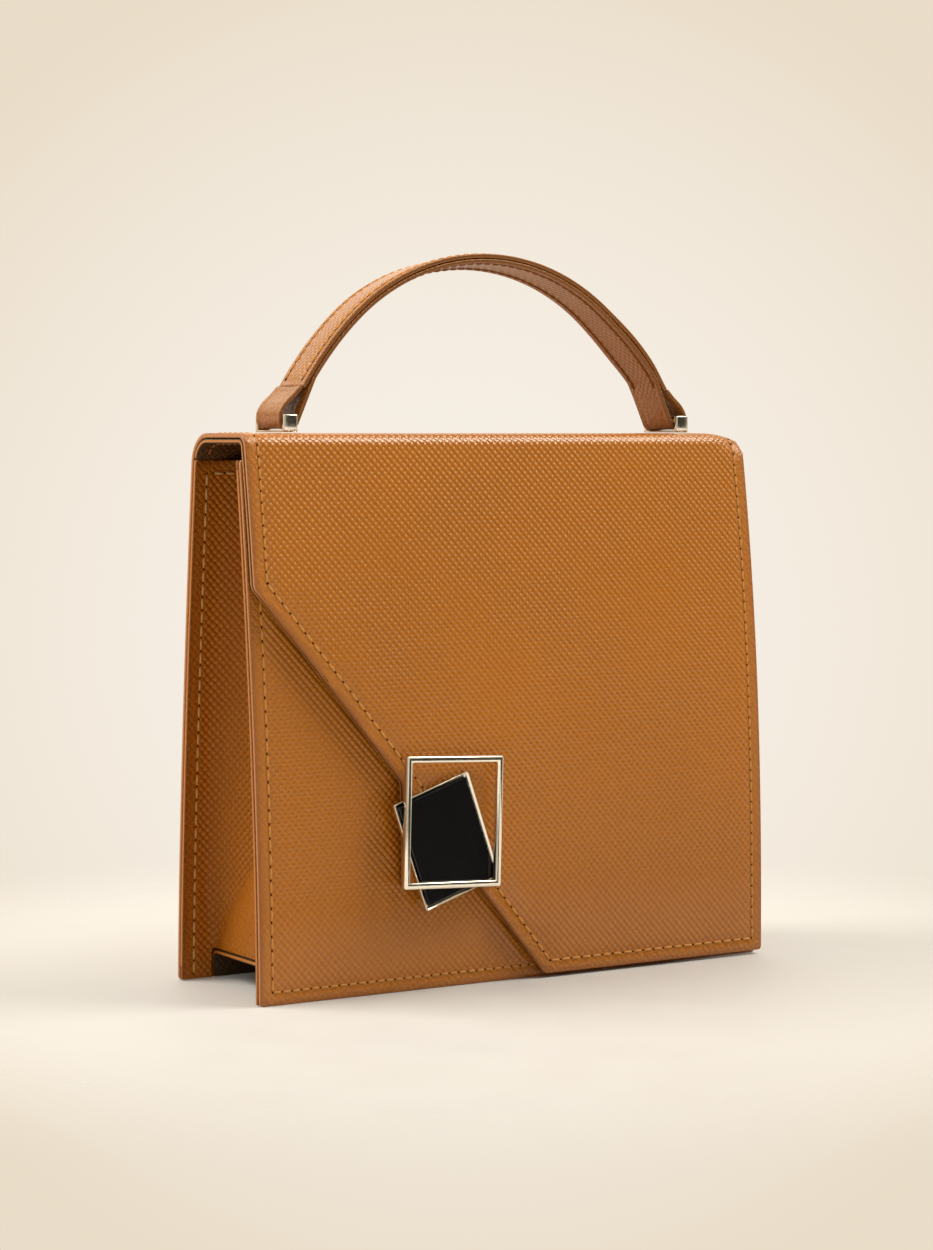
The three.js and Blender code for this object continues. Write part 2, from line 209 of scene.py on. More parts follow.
# %% [markdown]
# A studio backdrop is brightest straight behind the object. A curved sheet could stand there, but the
# world's own colour does the same from every side: warm white behind the bag, a darker cream further
# round, and one small dark patch in front for the unlit end of the room, which the clasp mirrors. Low
# down in front lies the lit end of the table. Only the foot of the leather mirrors it, as a pale band.
# The colours are shown without a film curve, so that a tan which is measured as tan stays tan.

# %% Backdrop
BACKDROP_GLOW = (0.93, 0.87, 0.79, 1)
BACKDROP_EDGE = (0.82, 0.72, 0.58, 1)
BACKDROP_FRONT = (0.42, 0.38, 0.325, 1)
TABLE_FRONT = (1.2, 1.12, 1.02, 1)
BACKDROP_DARK = (0.04, 0.036, 0.03, 1)
GLOW_EDGE = math.cos(math.radians(13))
BEHIND_RANGE = (-0.35, 0.35)
TABLE_END = (math.sin(math.radians(-7.6)), math.sin(math.radians(-6.0)))
DARK_SPOT = Vector((0.522, -0.850, 0.10)).normalized()
DARK_RANGE = (math.cos(math.radians(22)), math.cos(math.radians(11)))

world = bpy.data.worlds.new("studio")
bpy.context.scene.world = world
world.use_nodes = True
tree = world.node_tree
tree.nodes.clear()
direction = add_node(tree, "ShaderNodeTexCoord").outputs["Generated"]
facing = vector_node(tree, "DOT_PRODUCT", direction, -towards_camera)
glow = map_range(tree, facing, GLOW_EDGE, 1.0, 0.0, 1.0)
behind = map_range(tree, facing, *BEHIND_RANGE, 0.0, 1.0, smooth=True)
bright = mix_colours(tree, glow, BACKDROP_EDGE, BACKDROP_GLOW)
rise = add_node(tree, "ShaderNodeSeparateXYZ", Vector=direction).outputs["Z"]
above_table = map_range(tree, rise, *TABLE_END, 0.0, 1.0, smooth=True)
front = mix_colours(tree, above_table, TABLE_FRONT, BACKDROP_FRONT)
round_about = mix_colours(tree, behind, front, bright)
spot = vector_node(tree, "DOT_PRODUCT", direction, DARK_SPOT)
dark = map_range(tree, spot, *DARK_RANGE, 0.0, 1.0, smooth=True)
unlit = math_node(tree, "MULTIPLY", dark, above_table)
sky = mix_colours(tree, unlit, round_about, BACKDROP_DARK)
background = add_node(tree, "ShaderNodeBackground", Color=sky, Strength=1.0)
output = tree.nodes.new("ShaderNodeOutputWorld")
tree.links.new(background.outputs[0], output.inputs[0])
bpy.context.scene.view_settings.view_transform = "Standard"
print("backdrop with its dark patch towards", [round(value, 2) for value in DARK_SPOT])

# %% [markdown]
# Four soft lamps light the bag: the key from the upper right, one from the back left for the top and
# the handle, a weak one that fills the front, and one for the back. Large area lamps make the shadows
# soft, as the cloth boxes of a studio do.

# %% Lamps
WARM_WHITE = (1.0, 0.93, 0.83)
BODY_MIDDLE = (0, 0, 0.1)
BODY_TOP = (0, 0, 0.2)


def soft_lamp(name, place, aim, width, height, watts):
    data = bpy.data.lights.new(name, "AREA")
    data.shape = "RECTANGLE"
    data.size = width
    data.size_y = height
    data.energy = watts
    data.color = WARM_WHITE
    lamp = bpy.data.objects.new(name, data)
    lamp.location = place
    lamp.rotation_euler = (Vector(aim) - Vector(place)).to_track_quat("-Z", "Y").to_euler()
    bpy.context.scene.collection.objects.link(lamp)


soft_lamp("key", (0.75, -0.45, 1.3), BODY_MIDDLE, 0.7, 0.7, 20)
soft_lamp("left_back", (-0.9, 0.5, 1.2), BODY_MIDDLE, 0.8, 0.8, 22)
soft_lamp("front_fill", (-0.4, -1.75, 0.6), BODY_MIDDLE, 1.2, 1.0, 1.9)
soft_lamp("back_top", (0.3, 1.2, 0.9), BODY_TOP, 1.2, 0.8, 2.5)

# %% [markdown]
# Every leather piece is cut flat and then bent, as on the bench. So a piece needs a line to be bent
# along: its points, how far along the leather each one is, and which way is out. The same kind of
# line serves the side view of the walls, with the width across it, and the front view of the handle.
# A curve modifier could bend the sheets too, but it would not tell where a stitch comes to lie.

# %% Lines that leather is bent along
class BendLine:
    """A line in a side view (y, z) or a front view (x, z). Out is to the right of its direction."""

    def __init__(self, points, front_view=False, middle=0.0):
        self.points = [Vector(point) for point in points]
        self.front_view = front_view
        self.middle = middle
        self.lengths = [0.0]
        for before, after in zip(self.points, self.points[1:]):
            self.lengths.append(self.lengths[-1] + (after - before).length)
        last = len(self.points) - 1
        self.outs = []
        for i in range(len(self.points)):
            step = self.points[min(i + 1, last)] - self.points[max(i - 1, 0)]
            self.outs.append(Vector((step.y, -step.x)).normalized())

    @property
    def length(self):
        return self.lengths[-1]

    def along_at(self, test):
        return next(length for length, point in zip(self.lengths, self.points) if test(point))

    def at(self, along):
        along = min(max(along, 0.0), self.length)
        low, high = 0, len(self.lengths) - 1
        while high - low > 1:
            half = (low + high) // 2
            low, high = (half, high) if self.lengths[half] <= along else (low, half)
        share = (along - self.lengths[low]) / (self.lengths[high] - self.lengths[low])
        point = self.points[low].lerp(self.points[high], share)
        return point, self.outs[low].lerp(self.outs[high], share).normalized()

    def place(self, across, along, lift=0.0):
        point, out = self.at(along)
        point = point + out * lift
        if self.front_view:
            return Vector((point.x, self.middle + across, point.y))
        return Vector((across, point.x, point.y))

    def out(self, along):
        out = self.at(along)[1]
        return Vector((out.x, 0, out.y)) if self.front_view else Vector((0, out.x, out.y))


print("a line of 30 mm measures", BendLine([(0, 0), (0, 30)]).length)

# %% [markdown]
# Seen from the side, the walls lean in towards the top in soft curves, and the top is rounded off by a
# wide bend at the back and a tight one at the front. A wall is a power curve with four numbers, and a
# bend is an arc that runs smoothly from the wall into the level top. Together they make the line of
# the cover, from the back's foot over the top and down to the flap's hem.

# %% Side view of the bag
WIDTH = 200
HALF = WIDTH / 2
LEATHER = 1.7
LINING = 1.4
GAP = 0.3
TOP_Z = 185.5
FRONT_TOP_Z = 177
FLAP_HEM_Z = 1.5
BACK_BEND = 11
FLAP_BEND = 5
WALL_STEPS = 60
ARC_STEPS = 24
BACK = {"foot": BACK_FOOT, "lean": 12.0, "top": 172, "curve": 1.4}
FRONT = {"foot": -29.8, "lean": -12.3, "top": 176, "curve": 1.8}
FLAP = {"foot": -33.8, "lean": -12.8, "top": 181, "curve": 2.3}


def spread(low, high, count):
    return [low + (high - low) * i / count for i in range(count + 1)]


def clamp(value, low=0.0, high=1.0):
    return min(max(value, low), high)


def ramp(value, low, high):
    """From 0 at low to 1 at high, starting and ending gently."""
    share = clamp((value - low) / (high - low))
    return share * share * (3 - 2 * share)


def wall_depth(wall, z):
    return wall["foot"] - wall["lean"] * (z / wall["top"]) ** wall["curve"]


def wall_lean(wall, z):
    slope = abs(wall["lean"]) * wall["curve"] * (z / wall["top"]) ** (wall["curve"] - 1) / wall["top"]
    return math.atan(slope)


def wall_line(wall, low, high):
    return [(wall_depth(wall, z), z) for z in spread(low, high, WALL_STEPS)]


def top_bend(wall, radius):
    side = math.copysign(1, wall["foot"])
    centre_z = TOP_Z - radius
    lean = wall_lean(wall, centre_z)
    wall_top = centre_z + radius * math.sin(lean)
    centre_y = wall_depth(wall, wall_top) - side * radius * math.cos(lean)
    return {"y": centre_y, "z": centre_z, "radius": radius, "lean": lean, "wall_top": wall_top}


def arc(bend, start, end):
    return [(bend["y"] + bend["radius"] * math.cos(turn), bend["z"] + bend["radius"] * math.sin(turn))
            for turn in spread(start, end, ARC_STEPS)]


def over_the_top(start):
    """From a turn in the back bend over the top and down the flap."""
    front = arc(flap_bend, math.pi / 2, math.pi - flap_bend["lean"])
    return arc(back_bend, start, math.pi / 2) + front + wall_line(FLAP, flap_bend["wall_top"], FLAP_HEM_Z)[1:]


back_bend = top_bend(BACK, BACK_BEND)
flap_bend = top_bend(FLAP, FLAP_BEND)
back_wall = wall_line(BACK, 0, back_bend["wall_top"])[:-1]
cover_line = BendLine(back_wall + over_the_top(back_bend["lean"]))
front_line = BendLine(wall_line(FRONT, FRONT_TOP_Z, 0))
print(f"the cover leather is {cover_line.length:.1f} mm long from the back's foot to the flap's hem")

# %% [markdown]
# A leather piece is cut along an outline and sewn along a path a few millimetres inside it. A pattern
# maker draws both flat, and so does the lesson: first the corners, then the outline with its corners
# rounded, and the sewing path at an even distance inside.

# %% Outlines and sewing paths
SEAM_INSET = 4.4
CORNER = 1.5
CORNER_STEPS = 4


def strip_corners(half, length):
    return [(half, 0), (-half, 0), (-half, length), (half, length)]


def soft_corner(enter, here, leave, steps):
    return [enter.lerp(here, t).lerp(here.lerp(leave, t), t) for t in spread(0, 1, steps)]


def turn_corner(before, here, after, reach, steps):
    enter = here + (before - here).normalized() * reach
    leave = here + (after - here).normalized() * reach
    return soft_corner(enter, here, leave, steps)


def rounded(corners, radius):
    """Corners (x, y) to a closed outline with round corners."""
    points = [Vector(corner) for corner in corners]
    outline = []
    for before, here, after in zip(points[-1:] + points, points, points[1:] + points[:1]):
        outline += turn_corner(before, here, after, radius, CORNER_STEPS)
    return outline


def inset_path(corners, inset):
    """The closed path that runs inside a polygon whose corners go clockwise."""
    path = []
    for i, corner in enumerate(corners):
        here = Vector(corner)
        enter = (here - Vector(corners[i - 1])).normalized()
        leave = (Vector(corners[(i + 1) % len(corners)]) - here).normalized()
        inward = Vector((enter.y, -enter.x)) + Vector((leave.y, -leave.x))
        inward.normalize()
        path.append(here + inward * inset / inward.dot(Vector((enter.y, -enter.x))))
    return path


def closed_pairs(path):
    return list(zip(path, path[1:] + path[:1]))


def path_distance(point, path):
    best = math.inf
    for start, end in closed_pairs(path):
        run = end - start
        share = clamp((point - start).dot(run) / run.length_squared)
        best = min(best, (start + run * share - point).length)
    return best


def rounded_numbers(path):
    return [tuple(round(value, 1) for value in point) for point in path]


small_square = strip_corners(10, 20)
print("sewing path inside a square of 20 mm:", rounded_numbers(inset_path(small_square, SEAM_INSET)))

# %% [markdown]
# A sheet starts as one flat face. Bisect cuts it along the sewing path, with a line on either side
# where the thread pulls the leather in, and along the rows where it will bend. Then every point is laid
# on its line. A cloth simulation could fold the sheet too, but firm leather keeps the bends it is given.
# What the finish has to know later is stored on the mesh: the flat pattern as a UV map, the margin that
# is pressed by sewing, and the rim that is coloured darker.

# %% Cut a sheet and bend it
SEAM_HALF = 1.1
GROOVE = 0.28
SNAP = 0.15


def cut_sheet(outline, seam, rows, columns):
    bm = bmesh.new()
    bm.faces.new([bm.verts.new((point.x, point.y, 0)) for point in outline])
    cuts = [(Vector((0, row, 0)), Vector((0, 1, 0))) for row in rows]
    cuts += [(Vector((column, 0, 0)), Vector((1, 0, 0))) for column in columns]
    for start, end in closed_pairs(seam):
        across = Vector((end.y - start.y, start.x - end.x, 0)).normalized()
        cuts += [(start.to_3d() + across * side, across) for side in (-SEAM_HALF, 0, SEAM_HALF)]
    for point, across in cuts:
        everything = bm.verts[:] + bm.edges[:] + bm.faces[:]
        bmesh.ops.bisect_plane(bm, geom=everything, dist=SNAP, plane_co=point, plane_no=across)
    return bm


def bend_sheet(bm, outline, seam, line, lift=None, groove=GROOVE, inset=SEAM_INSET):
    flat = bm.loops.layers.uv.new("flat")
    margin = bm.verts.layers.float.new("margin")
    rim = bm.verts.layers.float.new("rim")
    for face in bm.faces:
        for loop in face.loops:
            loop[flat].uv = (loop.vert.co.x * MM, loop.vert.co.y * MM)
    for vert in bm.verts:
        across, along, _ = vert.co
        spot = Vector((across, along))
        pull = max(0.0, 1 - path_distance(spot, seam) / SEAM_HALF) if seam else 0.0
        from_rim = path_distance(spot, outline)
        vert[margin] = clamp((inset + SEAM_HALF - from_rim) / SEAM_HALF)
        vert[rim] = 1.0 if from_rim < SNAP else 0.0
        height = -groove * pull + (lift(across, along) if lift else 0.0)
        vert.co = line.place(across, along, height)
    if line.front_view:
        bmesh.ops.reverse_faces(bm, faces=bm.faces[:])


def lay_sheet(outline, seam, rows, columns, line, **shape):
    bm = cut_sheet(outline, seam, rows, columns)
    bend_sheet(bm, outline, seam, line, **shape)
    return bm


print(f"a seam draws the leather in by {GROOVE} mm over {2 * SEAM_HALF} mm")

# %% [markdown]
# Solidify gives the bent sheet its thickness, and a bevel rounds the cut edges, as sanding does on the
# bench. Two more marks go on the faces: the strip of the cut edge, which will carry edge paint, and the
# inner side, which is coloured near black as painted shade. The roundings beside the inner side get
# the same mark, and that paints a dark line of shade between two layers that are sewn together.

# %% Give leather its thickness
SHARP = 0.8
ROUND_STEPS = 3


def sharp_edges(edges):
    return [edge for edge in edges if edge.is_manifold and edge.calc_face_angle() > SHARP]


def thicken(bm, thickness, rounding):
    bm.normal_update()
    pushed_in = set(bm.faces)
    bmesh.ops.solidify(bm, geom=bm.faces[:], thickness=thickness)
    bmesh.ops.recalc_face_normals(bm, faces=bm.faces[:])
    paint = bm.faces.layers.float.new("edge")
    flesh_shade = bm.faces.layers.float.new("flesh_shade")
    sharp = sharp_edges(bm.edges)
    is_sharp = set(sharp)
    for face in bm.faces:
        cut = [edge for edge in face.edges if edge in is_sharp]
        strip = len(face.edges) == 4 and len(cut) >= 2 and not set(cut[0].verts) & set(cut[-1].verts)
        face[paint] = 1.0 if strip else 0.0
        face[flesh_shade] = 1.0 if face in pushed_in else 0.0
    rounds = bmesh.ops.bevel(bm, geom=sharp, offset=rounding, segments=ROUND_STEPS, profile=0.5,
                             affect="EDGES", clamp_overlap=False, material=-1)["faces"]
    for face in rounds:
        face[paint] = 0.0
        face[flesh_shade] = 0.0
    # The roundings beside the inner side take its near black as well, which paints shade in the gap between
    # two layers.
    for _ in range(ROUND_STEPS):
        inner = [face for face in rounds
                 if any(beside[flesh_shade] for edge in face.edges for beside in edge.link_faces)]
        for face in inner:
            face[flesh_shade] = 1.0


print("cut edges are rounded in", ROUND_STEPS, "steps")

# %% [markdown]
# Every finished mesh goes the same way: it is scaled to metres, becomes an object at the origin, gets
# its finish, and is told which body it rides on. The CAD parts that it stands for are hidden.

# %% Hand a finished piece to the frame
def finish_piece(bm, name, finish, nodes=(), smooth=True):
    bmesh.ops.transform(bm, matrix=TO_FRAME, verts=bm.verts[:])
    data = bpy.data.meshes.new(name)
    for face in bm.faces:
        face.smooth = smooth
    bm.to_mesh(data)
    bm.free()
    data.materials.append(finish)
    piece = bpy.data.objects.new(name, data)
    bpy.context.scene.collection.objects.link(piece)
    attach(piece, "root")
    if nodes:
        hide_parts(*nodes)
    print(f"{name}: {len(data.polygons)} faces")


print("pieces are scaled by", MM)

# %% [markdown]
# The leather is stamped with a fine pebble in a diamond net, about 2.5 mm apart. Blender has no such
# texture, so the height of a pebble comes from the distance to the nearest point of two nets, one set
# between the points of the other. Ping-pong folds each coordinate of the flat pattern into one step of
# the net. So the stamp bends with the leather, and a little noise keeps it from looking printed.

# %% Pebbles
PEBBLE_ACROSS = 0.0025
PEBBLE_ALONG = 0.00278
PEBBLE_RADIUS = 0.00112
STRAY = 0.0007
STRAY_NOISE = (230, 1)


def pebble_net(tree, flat):
    """Height of round pebbles on two nets of points, one set between the other."""
    axes = add_node(tree, "ShaderNodeSeparateXYZ", Vector=flat)
    stray = map_range(tree, noise(tree, flat, *STRAY_NOISE), 0.0, 1.0, -STRAY / 2, STRAY / 2)
    nearest = []
    for axis, step in ((0, PEBBLE_ACROSS), (1, PEBBLE_ALONG)):
        moved = math_node(tree, "ADD", axes.outputs[axis], stray)
        first = math_node(tree, "PINGPONG", moved, step / 2)
        second = math_node(tree, "SUBTRACT", step / 2, first)
        nearest.append([math_node(tree, "MULTIPLY", away, away) for away in (first, second)])
    spans = [math_node(tree, "ADD", across, along) for across, along in zip(*nearest)]
    return map_range(tree, math_node(tree, "MINIMUM", *spans), 0.0, PEBBLE_RADIUS ** 2, 1.0, 0.0)


print("pebble net in metres:", PEBBLE_ACROSS, "by", PEBBLE_ALONG)

# %% [markdown]
# The finish reads the marks on the mesh. The sewn margin loses half its stamp and crinkles, the rim is
# darker, the inner side is near black as painted shade, and the cut edge is smooth paint. The hollows
# between the pebbles are painted darker as shade. A thin lacquer lies over it all and follows the stamp
# only in part, so the bag has a soft sheen instead of a glitter. At the foot it is worn smooth.

# %% Leather finish
RELIEF = 0.00047
LACQUER_SHARE = 0.3
LACQUER_ROUGHNESS = 0.14
LACQUER_IOR = 1.5
FOOT_RANGE = (0.028, 0.042)
FOOT_SMOOTH = 0.9
PATCH_NOISE = (28, 2)
PATCH_STAMP = (0.75, 1.0)
PRESSED = 0.5
CUT_SMOOTH = 0.9
PORES = 0.1
PORE_NOISE = (2600, 3, 0.6)
CRINKLE = 2.2
CRINKLE_NOISE = (650, 4, 0.65)
CLOUD_NOISE = (14, 3)
CLOUD_SHADE = 0.9
# Share of the darker hollow colour, painted shade between the pebbles.
HOLLOW_SHADE = 0.45
# Share of the darker hollow colour at the rim.
RIM_DARKENING = 0.8
MARGIN_INSIDE = 0.12
ROUGHNESS = (0.44, 0.32)
PORE_ROUGHNESS = 0.08
SHINE = 0.4
# Near black for the inner side, as painted shade inside the bag and between layers.
FLESH_SHADE_BROWN = (0.014, 0.007, 0.004, 1)
HIGHLIGHT_TINT = (1.0, 0.80, 0.34, 1)


def mark(tree, name):
    return add_node(tree, "ShaderNodeAttribute", {"attribute_name": name}).outputs["Fac"]


def embossed_leather(name, tan, hollow, edge_paint, coat, inner=FLESH_SHADE_BROWN, stamp_depth=RELIEF):
    material, tree = new_material(name)
    multiply = partial(math_node, tree, "MULTIPLY")
    mix = partial(mix_colours, tree)
    flat = add_node(tree, "ShaderNodeUVMap", {"uv_map": "flat"}).outputs[0]
    solid = object_place(tree)
    margin, rim, edge, flesh_shade = [mark(tree, word) for word in ("margin", "rim", "edge", "flesh_shade")]

    pebble = pebble_net(tree, flat)
    patchy = map_range(tree, noise(tree, flat, *PATCH_NOISE), *NOISE_RANGE, *PATCH_STAMP)
    pressed = math_node(tree, "SUBTRACT", 1.0, multiply(margin, PRESSED))
    uncut = math_node(tree, "MULTIPLY_ADD", edge, -CUT_SMOOTH, 1.0)
    stamp = multiply(multiply(pressed, uncut), patchy)
    relief = multiply(pebble, stamp)
    pores = noise(tree, solid, *PORE_NOISE)
    grain = math_node(tree, "MULTIPLY_ADD", pores, PORES, relief)
    wrinkle = math_node(tree, "SUBTRACT", noise(tree, flat, *CRINKLE_NOISE), 0.5)
    sewn = multiply(math_node(tree, "MINIMUM", margin, 1.0), uncut)
    height = math_node(tree, "ADD", grain, multiply(multiply(sewn, wrinkle), CRINKLE))
    bump = add_node(tree, "ShaderNodeBump", Strength=1.0, Distance=stamp_depth, Height=height)
    level = add_node(tree, "ShaderNodeSeparateXYZ", Vector=solid).outputs["Z"]
    foot = map_range(tree, level, *FOOT_RANGE, 1.0, 0.0, smooth=True)
    follows = math_node(tree, "MULTIPLY_ADD", foot, -FOOT_SMOOTH, 1.0)
    lacquer = add_node(tree, "ShaderNodeBump", Strength=follows, Distance=stamp_depth * LACQUER_SHARE,
                       Height=height)

    cloud = map_range(tree, noise(tree, solid, *CLOUD_NOISE), *NOISE_RANGE, 0.0, 1.0)
    even = mix(cloud, tan, darker(tan, CLOUD_SHADE))
    # Painted shade: the hollows between the pebbles get the darker colour.
    hollows = multiply(math_node(tree, "SUBTRACT", 1.0, pebble), stamp)
    hollow_shaded = mix(multiply(hollows, HOLLOW_SHADE), even, hollow)
    rim_darkened = mix(multiply(multiply(rim, rim), RIM_DARKENING), hollow_shaded, hollow)
    inside = mix(multiply(margin, MARGIN_INSIDE), inner, hollow)
    colour = mix(edge, mix(flesh_shade, rim_darkened, inside), edge_paint)
    stamped = map_range(tree, relief, 0.0, 1.0, *ROUGHNESS)
    roughness = math_node(tree, "MULTIPLY_ADD", pores, PORE_ROUGHNESS, stamped)
    leather = add_node(tree, "ShaderNodeBsdfPrincipled", Base_Color=colour, Roughness=roughness,
                       Specular_IOR_Level=SHINE, Specular_Tint=HIGHLIGHT_TINT, Normal=bump.outputs[0],
                       Coat_Weight=coat, Coat_Roughness=LACQUER_ROUGHNESS, Coat_IOR=LACQUER_IOR,
                       Coat_Normal=lacquer.outputs[0])
    close_material(tree, leather)
    return material


# The hollow brown is the painted shade between the pebbles, and it also darkens the rim.
TAN = (0.470, 0.148, 0.006, 1)
HOLLOW = (0.26, 0.064, 0.003, 1)
EDGE_PAINT = (0.43, 0.148, 0.026, 1)
leather_finish = embossed_leather("embossed_tan_leather", TAN, HOLLOW, EDGE_PAINT, coat=0.78)
print("leather nodes:", len(leather_finish.node_tree.nodes))

# %% [markdown]
# Back, top and flap are one sheet. On the flat pattern it is a rectangle whose lower left corner is
# cut away by the slant, with a small tab left standing behind the clasp. The sewing path follows the
# slant and passes behind the tab.

# %% Cover pattern
FLAP_LEFT_Z = 135.5
FLAP_FOOT_X = 7.5
TAB_X = -47.5
TAB_Z = 35
BEND_Z = 172
FIRST_ROW = 8
BACK_ROWS = 30
FLAP_ROWS = 36
TOP_ALONG = cover_line.along_at(lambda point: point.x < 0)


def flap_along(z):
    """How far along the cover a height on the flap is."""
    pairs = zip(cover_line.lengths, cover_line.points)
    after = [(length, point) for length, point in pairs if length > TOP_ALONG]
    for (low, above), (high, below) in zip(after, after[1:]):
        if below.y <= z <= above.y:
            return low + (high - low) * (above.y - z) / (above.y - below.y)
    return cover_line.length


def slant_x(z):
    return -HALF + (FLAP_FOOT_X + HALF) * (FLAP_LEFT_Z - z) / (FLAP_LEFT_Z - FLAP_HEM_Z)


def slant_z(x):
    return FLAP_LEFT_Z + (FLAP_HEM_Z - FLAP_LEFT_Z) * (x + HALF) / (FLAP_FOOT_X + HALF)


def rows_in_bends(line):
    return [length for length, point in zip(line.lengths, line.points) if point.y > BEND_Z]


flap_corners = [
    (-HALF, flap_along(FLAP_LEFT_Z)),
    (TAB_X, flap_along(slant_z(TAB_X))),
    (TAB_X, flap_along(TAB_Z)),
    (slant_x(TAB_Z), flap_along(TAB_Z)),
    (FLAP_FOOT_X, cover_line.length),
    (HALF, cover_line.length),
]
back_corners = [(HALF, 0), (-HALF, 0)]
cover_outline = rounded(back_corners + flap_corners, CORNER)
cover_seam = inset_path(back_corners + flap_corners[:1] + flap_corners[4:], SEAM_INSET)
bend_rows = rows_in_bends(cover_line)
back_rows = spread(FIRST_ROW, bend_rows[0], BACK_ROWS)[:-1]
flap_rows = spread(bend_rows[-1], cover_line.length - FIRST_ROW, FLAP_ROWS)[1:]
print("sewing path on the cover:", rounded_numbers(cover_seam))

# %% [markdown]
# Now the cover is cut, bent and thickened. The top's front corner on the right has gone soft with use,
# so the sheet sinks there a little. A few extra columns let it sink in a smooth curve.

# %% Cover
COLUMNS = spread(-90, 90, 12)
SOFT_COLUMNS = COLUMNS + [84, 87, 92]
DROOP = 2.8
DROOP_X = 85
DROOP_Z = (178, 183)
DROOP_DEPTH = (-10, 6)
LEATHER_ROUNDING = 0.45


def corner_droop(line, across, along):
    """The top's front corner on the right has gone soft and hangs a little."""
    depth, height = line.at(along)[0]
    end = (max(0.0, across - DROOP_X) / (HALF - DROOP_X)) ** 2
    return -DROOP * end * ramp(height, *DROOP_Z) * (1 - ramp(depth, *DROOP_DEPTH))


cover_rows = back_rows + bend_rows + flap_rows
cover = lay_sheet(cover_outline, cover_seam, cover_rows, SOFT_COLUMNS, cover_line,
                  lift=partial(corner_droop, cover_line))
thicken(cover, LEATHER, LEATHER_ROUNDING)
finish_piece(cover, "cover", leather_finish, ["back_and_flap"])

# %% [markdown]
# The front panel hangs behind the flap and shows at the lower left. It is a plain rectangle that is
# cut, sewn and bent as the cover is, along the curve of the front wall.

# %% Front panel
FRONT_ROWS = 30

front_corners = strip_corners(HALF, front_line.length)
front_seam = inset_path(front_corners, SEAM_INSET)
front_rows = spread(FIRST_ROW, front_line.length - FIRST_ROW, FRONT_ROWS)
front = lay_sheet(rounded(front_corners, CORNER), front_seam, front_rows, COLUMNS, front_line)
thicken(front, LEATHER, LEATHER_ROUNDING)
finish_piece(front, "front_panel_leather", leather_finish, ["front_panel"])

# %% [markdown]
# Under the flap and the top lies a second, thinner leather. It follows the cover at a small distance
# and has the same outline, so the flap's cut edges show two layers with a dark line between them: a
# real gap, with painted shade beside it. Its face is painted dark brown as shade, because little light
# reaches the slot above the gussets.

# %% Flap lining
LINING_START = math.radians(16)
LINING_ROUNDING = 0.35
LINING_ROWS = 24
LAST_ROW = 4
# The lining's dark browns are painted shade for the dim slot above the gussets.
LINING_SHADE_BROWN = (0.07, 0.025, 0.006, 1)
LINING_SHADE_DARK = (0.042, 0.015, 0.004, 1)

outer = BendLine(over_the_top(LINING_START))
lining_line = BendLine([point - out * (LEATHER + GAP) for point, out in zip(outer.points, outer.outs)])
behind_flap = cover_line.length - lining_line.length
lining_corners = back_corners + [(x, along - behind_flap) for x, along in flap_corners]
tight_rows = rows_in_bends(lining_line)
lining_rows = tight_rows[1:] + spread(tight_rows[-1], lining_line.length - LAST_ROW, LINING_ROWS)[1:]
lining = lay_sheet(rounded(lining_corners, CORNER), [], lining_rows, SOFT_COLUMNS, lining_line,
                   lift=partial(corner_droop, lining_line))
thicken(lining, LINING, LINING_ROUNDING)
shaded_lining_finish = embossed_leather("lining_leather", LINING_SHADE_BROWN, LINING_SHADE_DARK, EDGE_PAINT, coat=0.3)
finish_piece(lining, "flap_lining_leather", shaded_lining_finish, ["flap_lining"])

# %% [markdown]
# A gusset is a strip that is sewn to both panels by its flanges and folds inward between them. Near
# the foot the fold opens into a flat triangle. It could be folded by a simulation, but a section that
# is drawn at every height keeps the strip's width and puts the crease where it belongs.

# %% Gusset sections
FLANGE = 12
GUSSET_TOP_Z = 176.5
GUSSET_FOOT_Z = 10.3
HALF_STRIP = 26.8
FOLD_APEX_Z = 55
LEAST_OPENED = 0.02
CREASE_HALF = 0.8
FLANGE_SEAM = HALF - SEAM_INSET
SEAM_STEPS = (-SEAM_HALF, 0.0, SEAM_HALF)
BEND_START = -93.6
BEND_SHARE = 0.8
BEND_STEPS = 9
WEB_STEPS = 12
CREASE_STEPS = 4
SAMPLE_Z = 100


def seat_depth(wall, z):
    """The inner face of a panel, where a flange lies against it."""
    return wall_depth(wall, z) - math.copysign(LEATHER + GAP, wall["foot"])


def evenly(points, count):
    line = BendLine(points)
    return [line.at(along)[0] for along in spread(0, line.length, count)]


def gusset_section(z):
    """The left gusset's outer face at one height, from the back flange to the front one."""
    back = seat_depth(BACK, z) - LEATHER
    front = seat_depth(FRONT, z) + LEATHER
    middle = (back + front) / 2
    half = (back - front) / 2
    web = -HALF + FLANGE
    opened = clamp((z - GUSSET_FOOT_Z) / (FOLD_APEX_Z - GUSSET_FOOT_Z), LEAST_OPENED)
    crease = web + math.sqrt(HALF_STRIP ** 2 - half ** 2) * opened
    crease_half = (half - CREASE_HALF) * (1 - opened) + CREASE_HALF * opened
    back_web, front_web = Vector((web, back)), Vector((web, front))
    back_crease, front_crease = [Vector((crease, middle + side * crease_half)) for side in (1, -1)]
    back_start, front_start = Vector((BEND_START, back)), Vector((BEND_START, front))
    seams = [Vector((-FLANGE_SEAM + step, back)) for step in SEAM_STEPS]
    other_seams = [Vector((point.x, front)) for point in reversed(seams)]
    into_back = soft_corner(back_start, back_web, back_web.lerp(back_crease, BEND_SHARE), BEND_STEPS)
    into_front = soft_corner(front_web.lerp(front_crease, BEND_SHARE), front_web, front_start, BEND_STEPS)
    line = [Vector((-HALF, back))] + seams + evenly(into_back + [back_crease], WEB_STEPS)
    line += evenly([back_crease, front_crease], CREASE_STEPS)[1:-1]
    line += evenly([front_crease] + into_front, WEB_STEPS) + other_seams + [Vector((-HALF, front))]
    return line


print(f"the gusset strip at {SAMPLE_Z} mm is {BendLine(gusset_section(SAMPLE_Z)).length:.1f} mm wide")
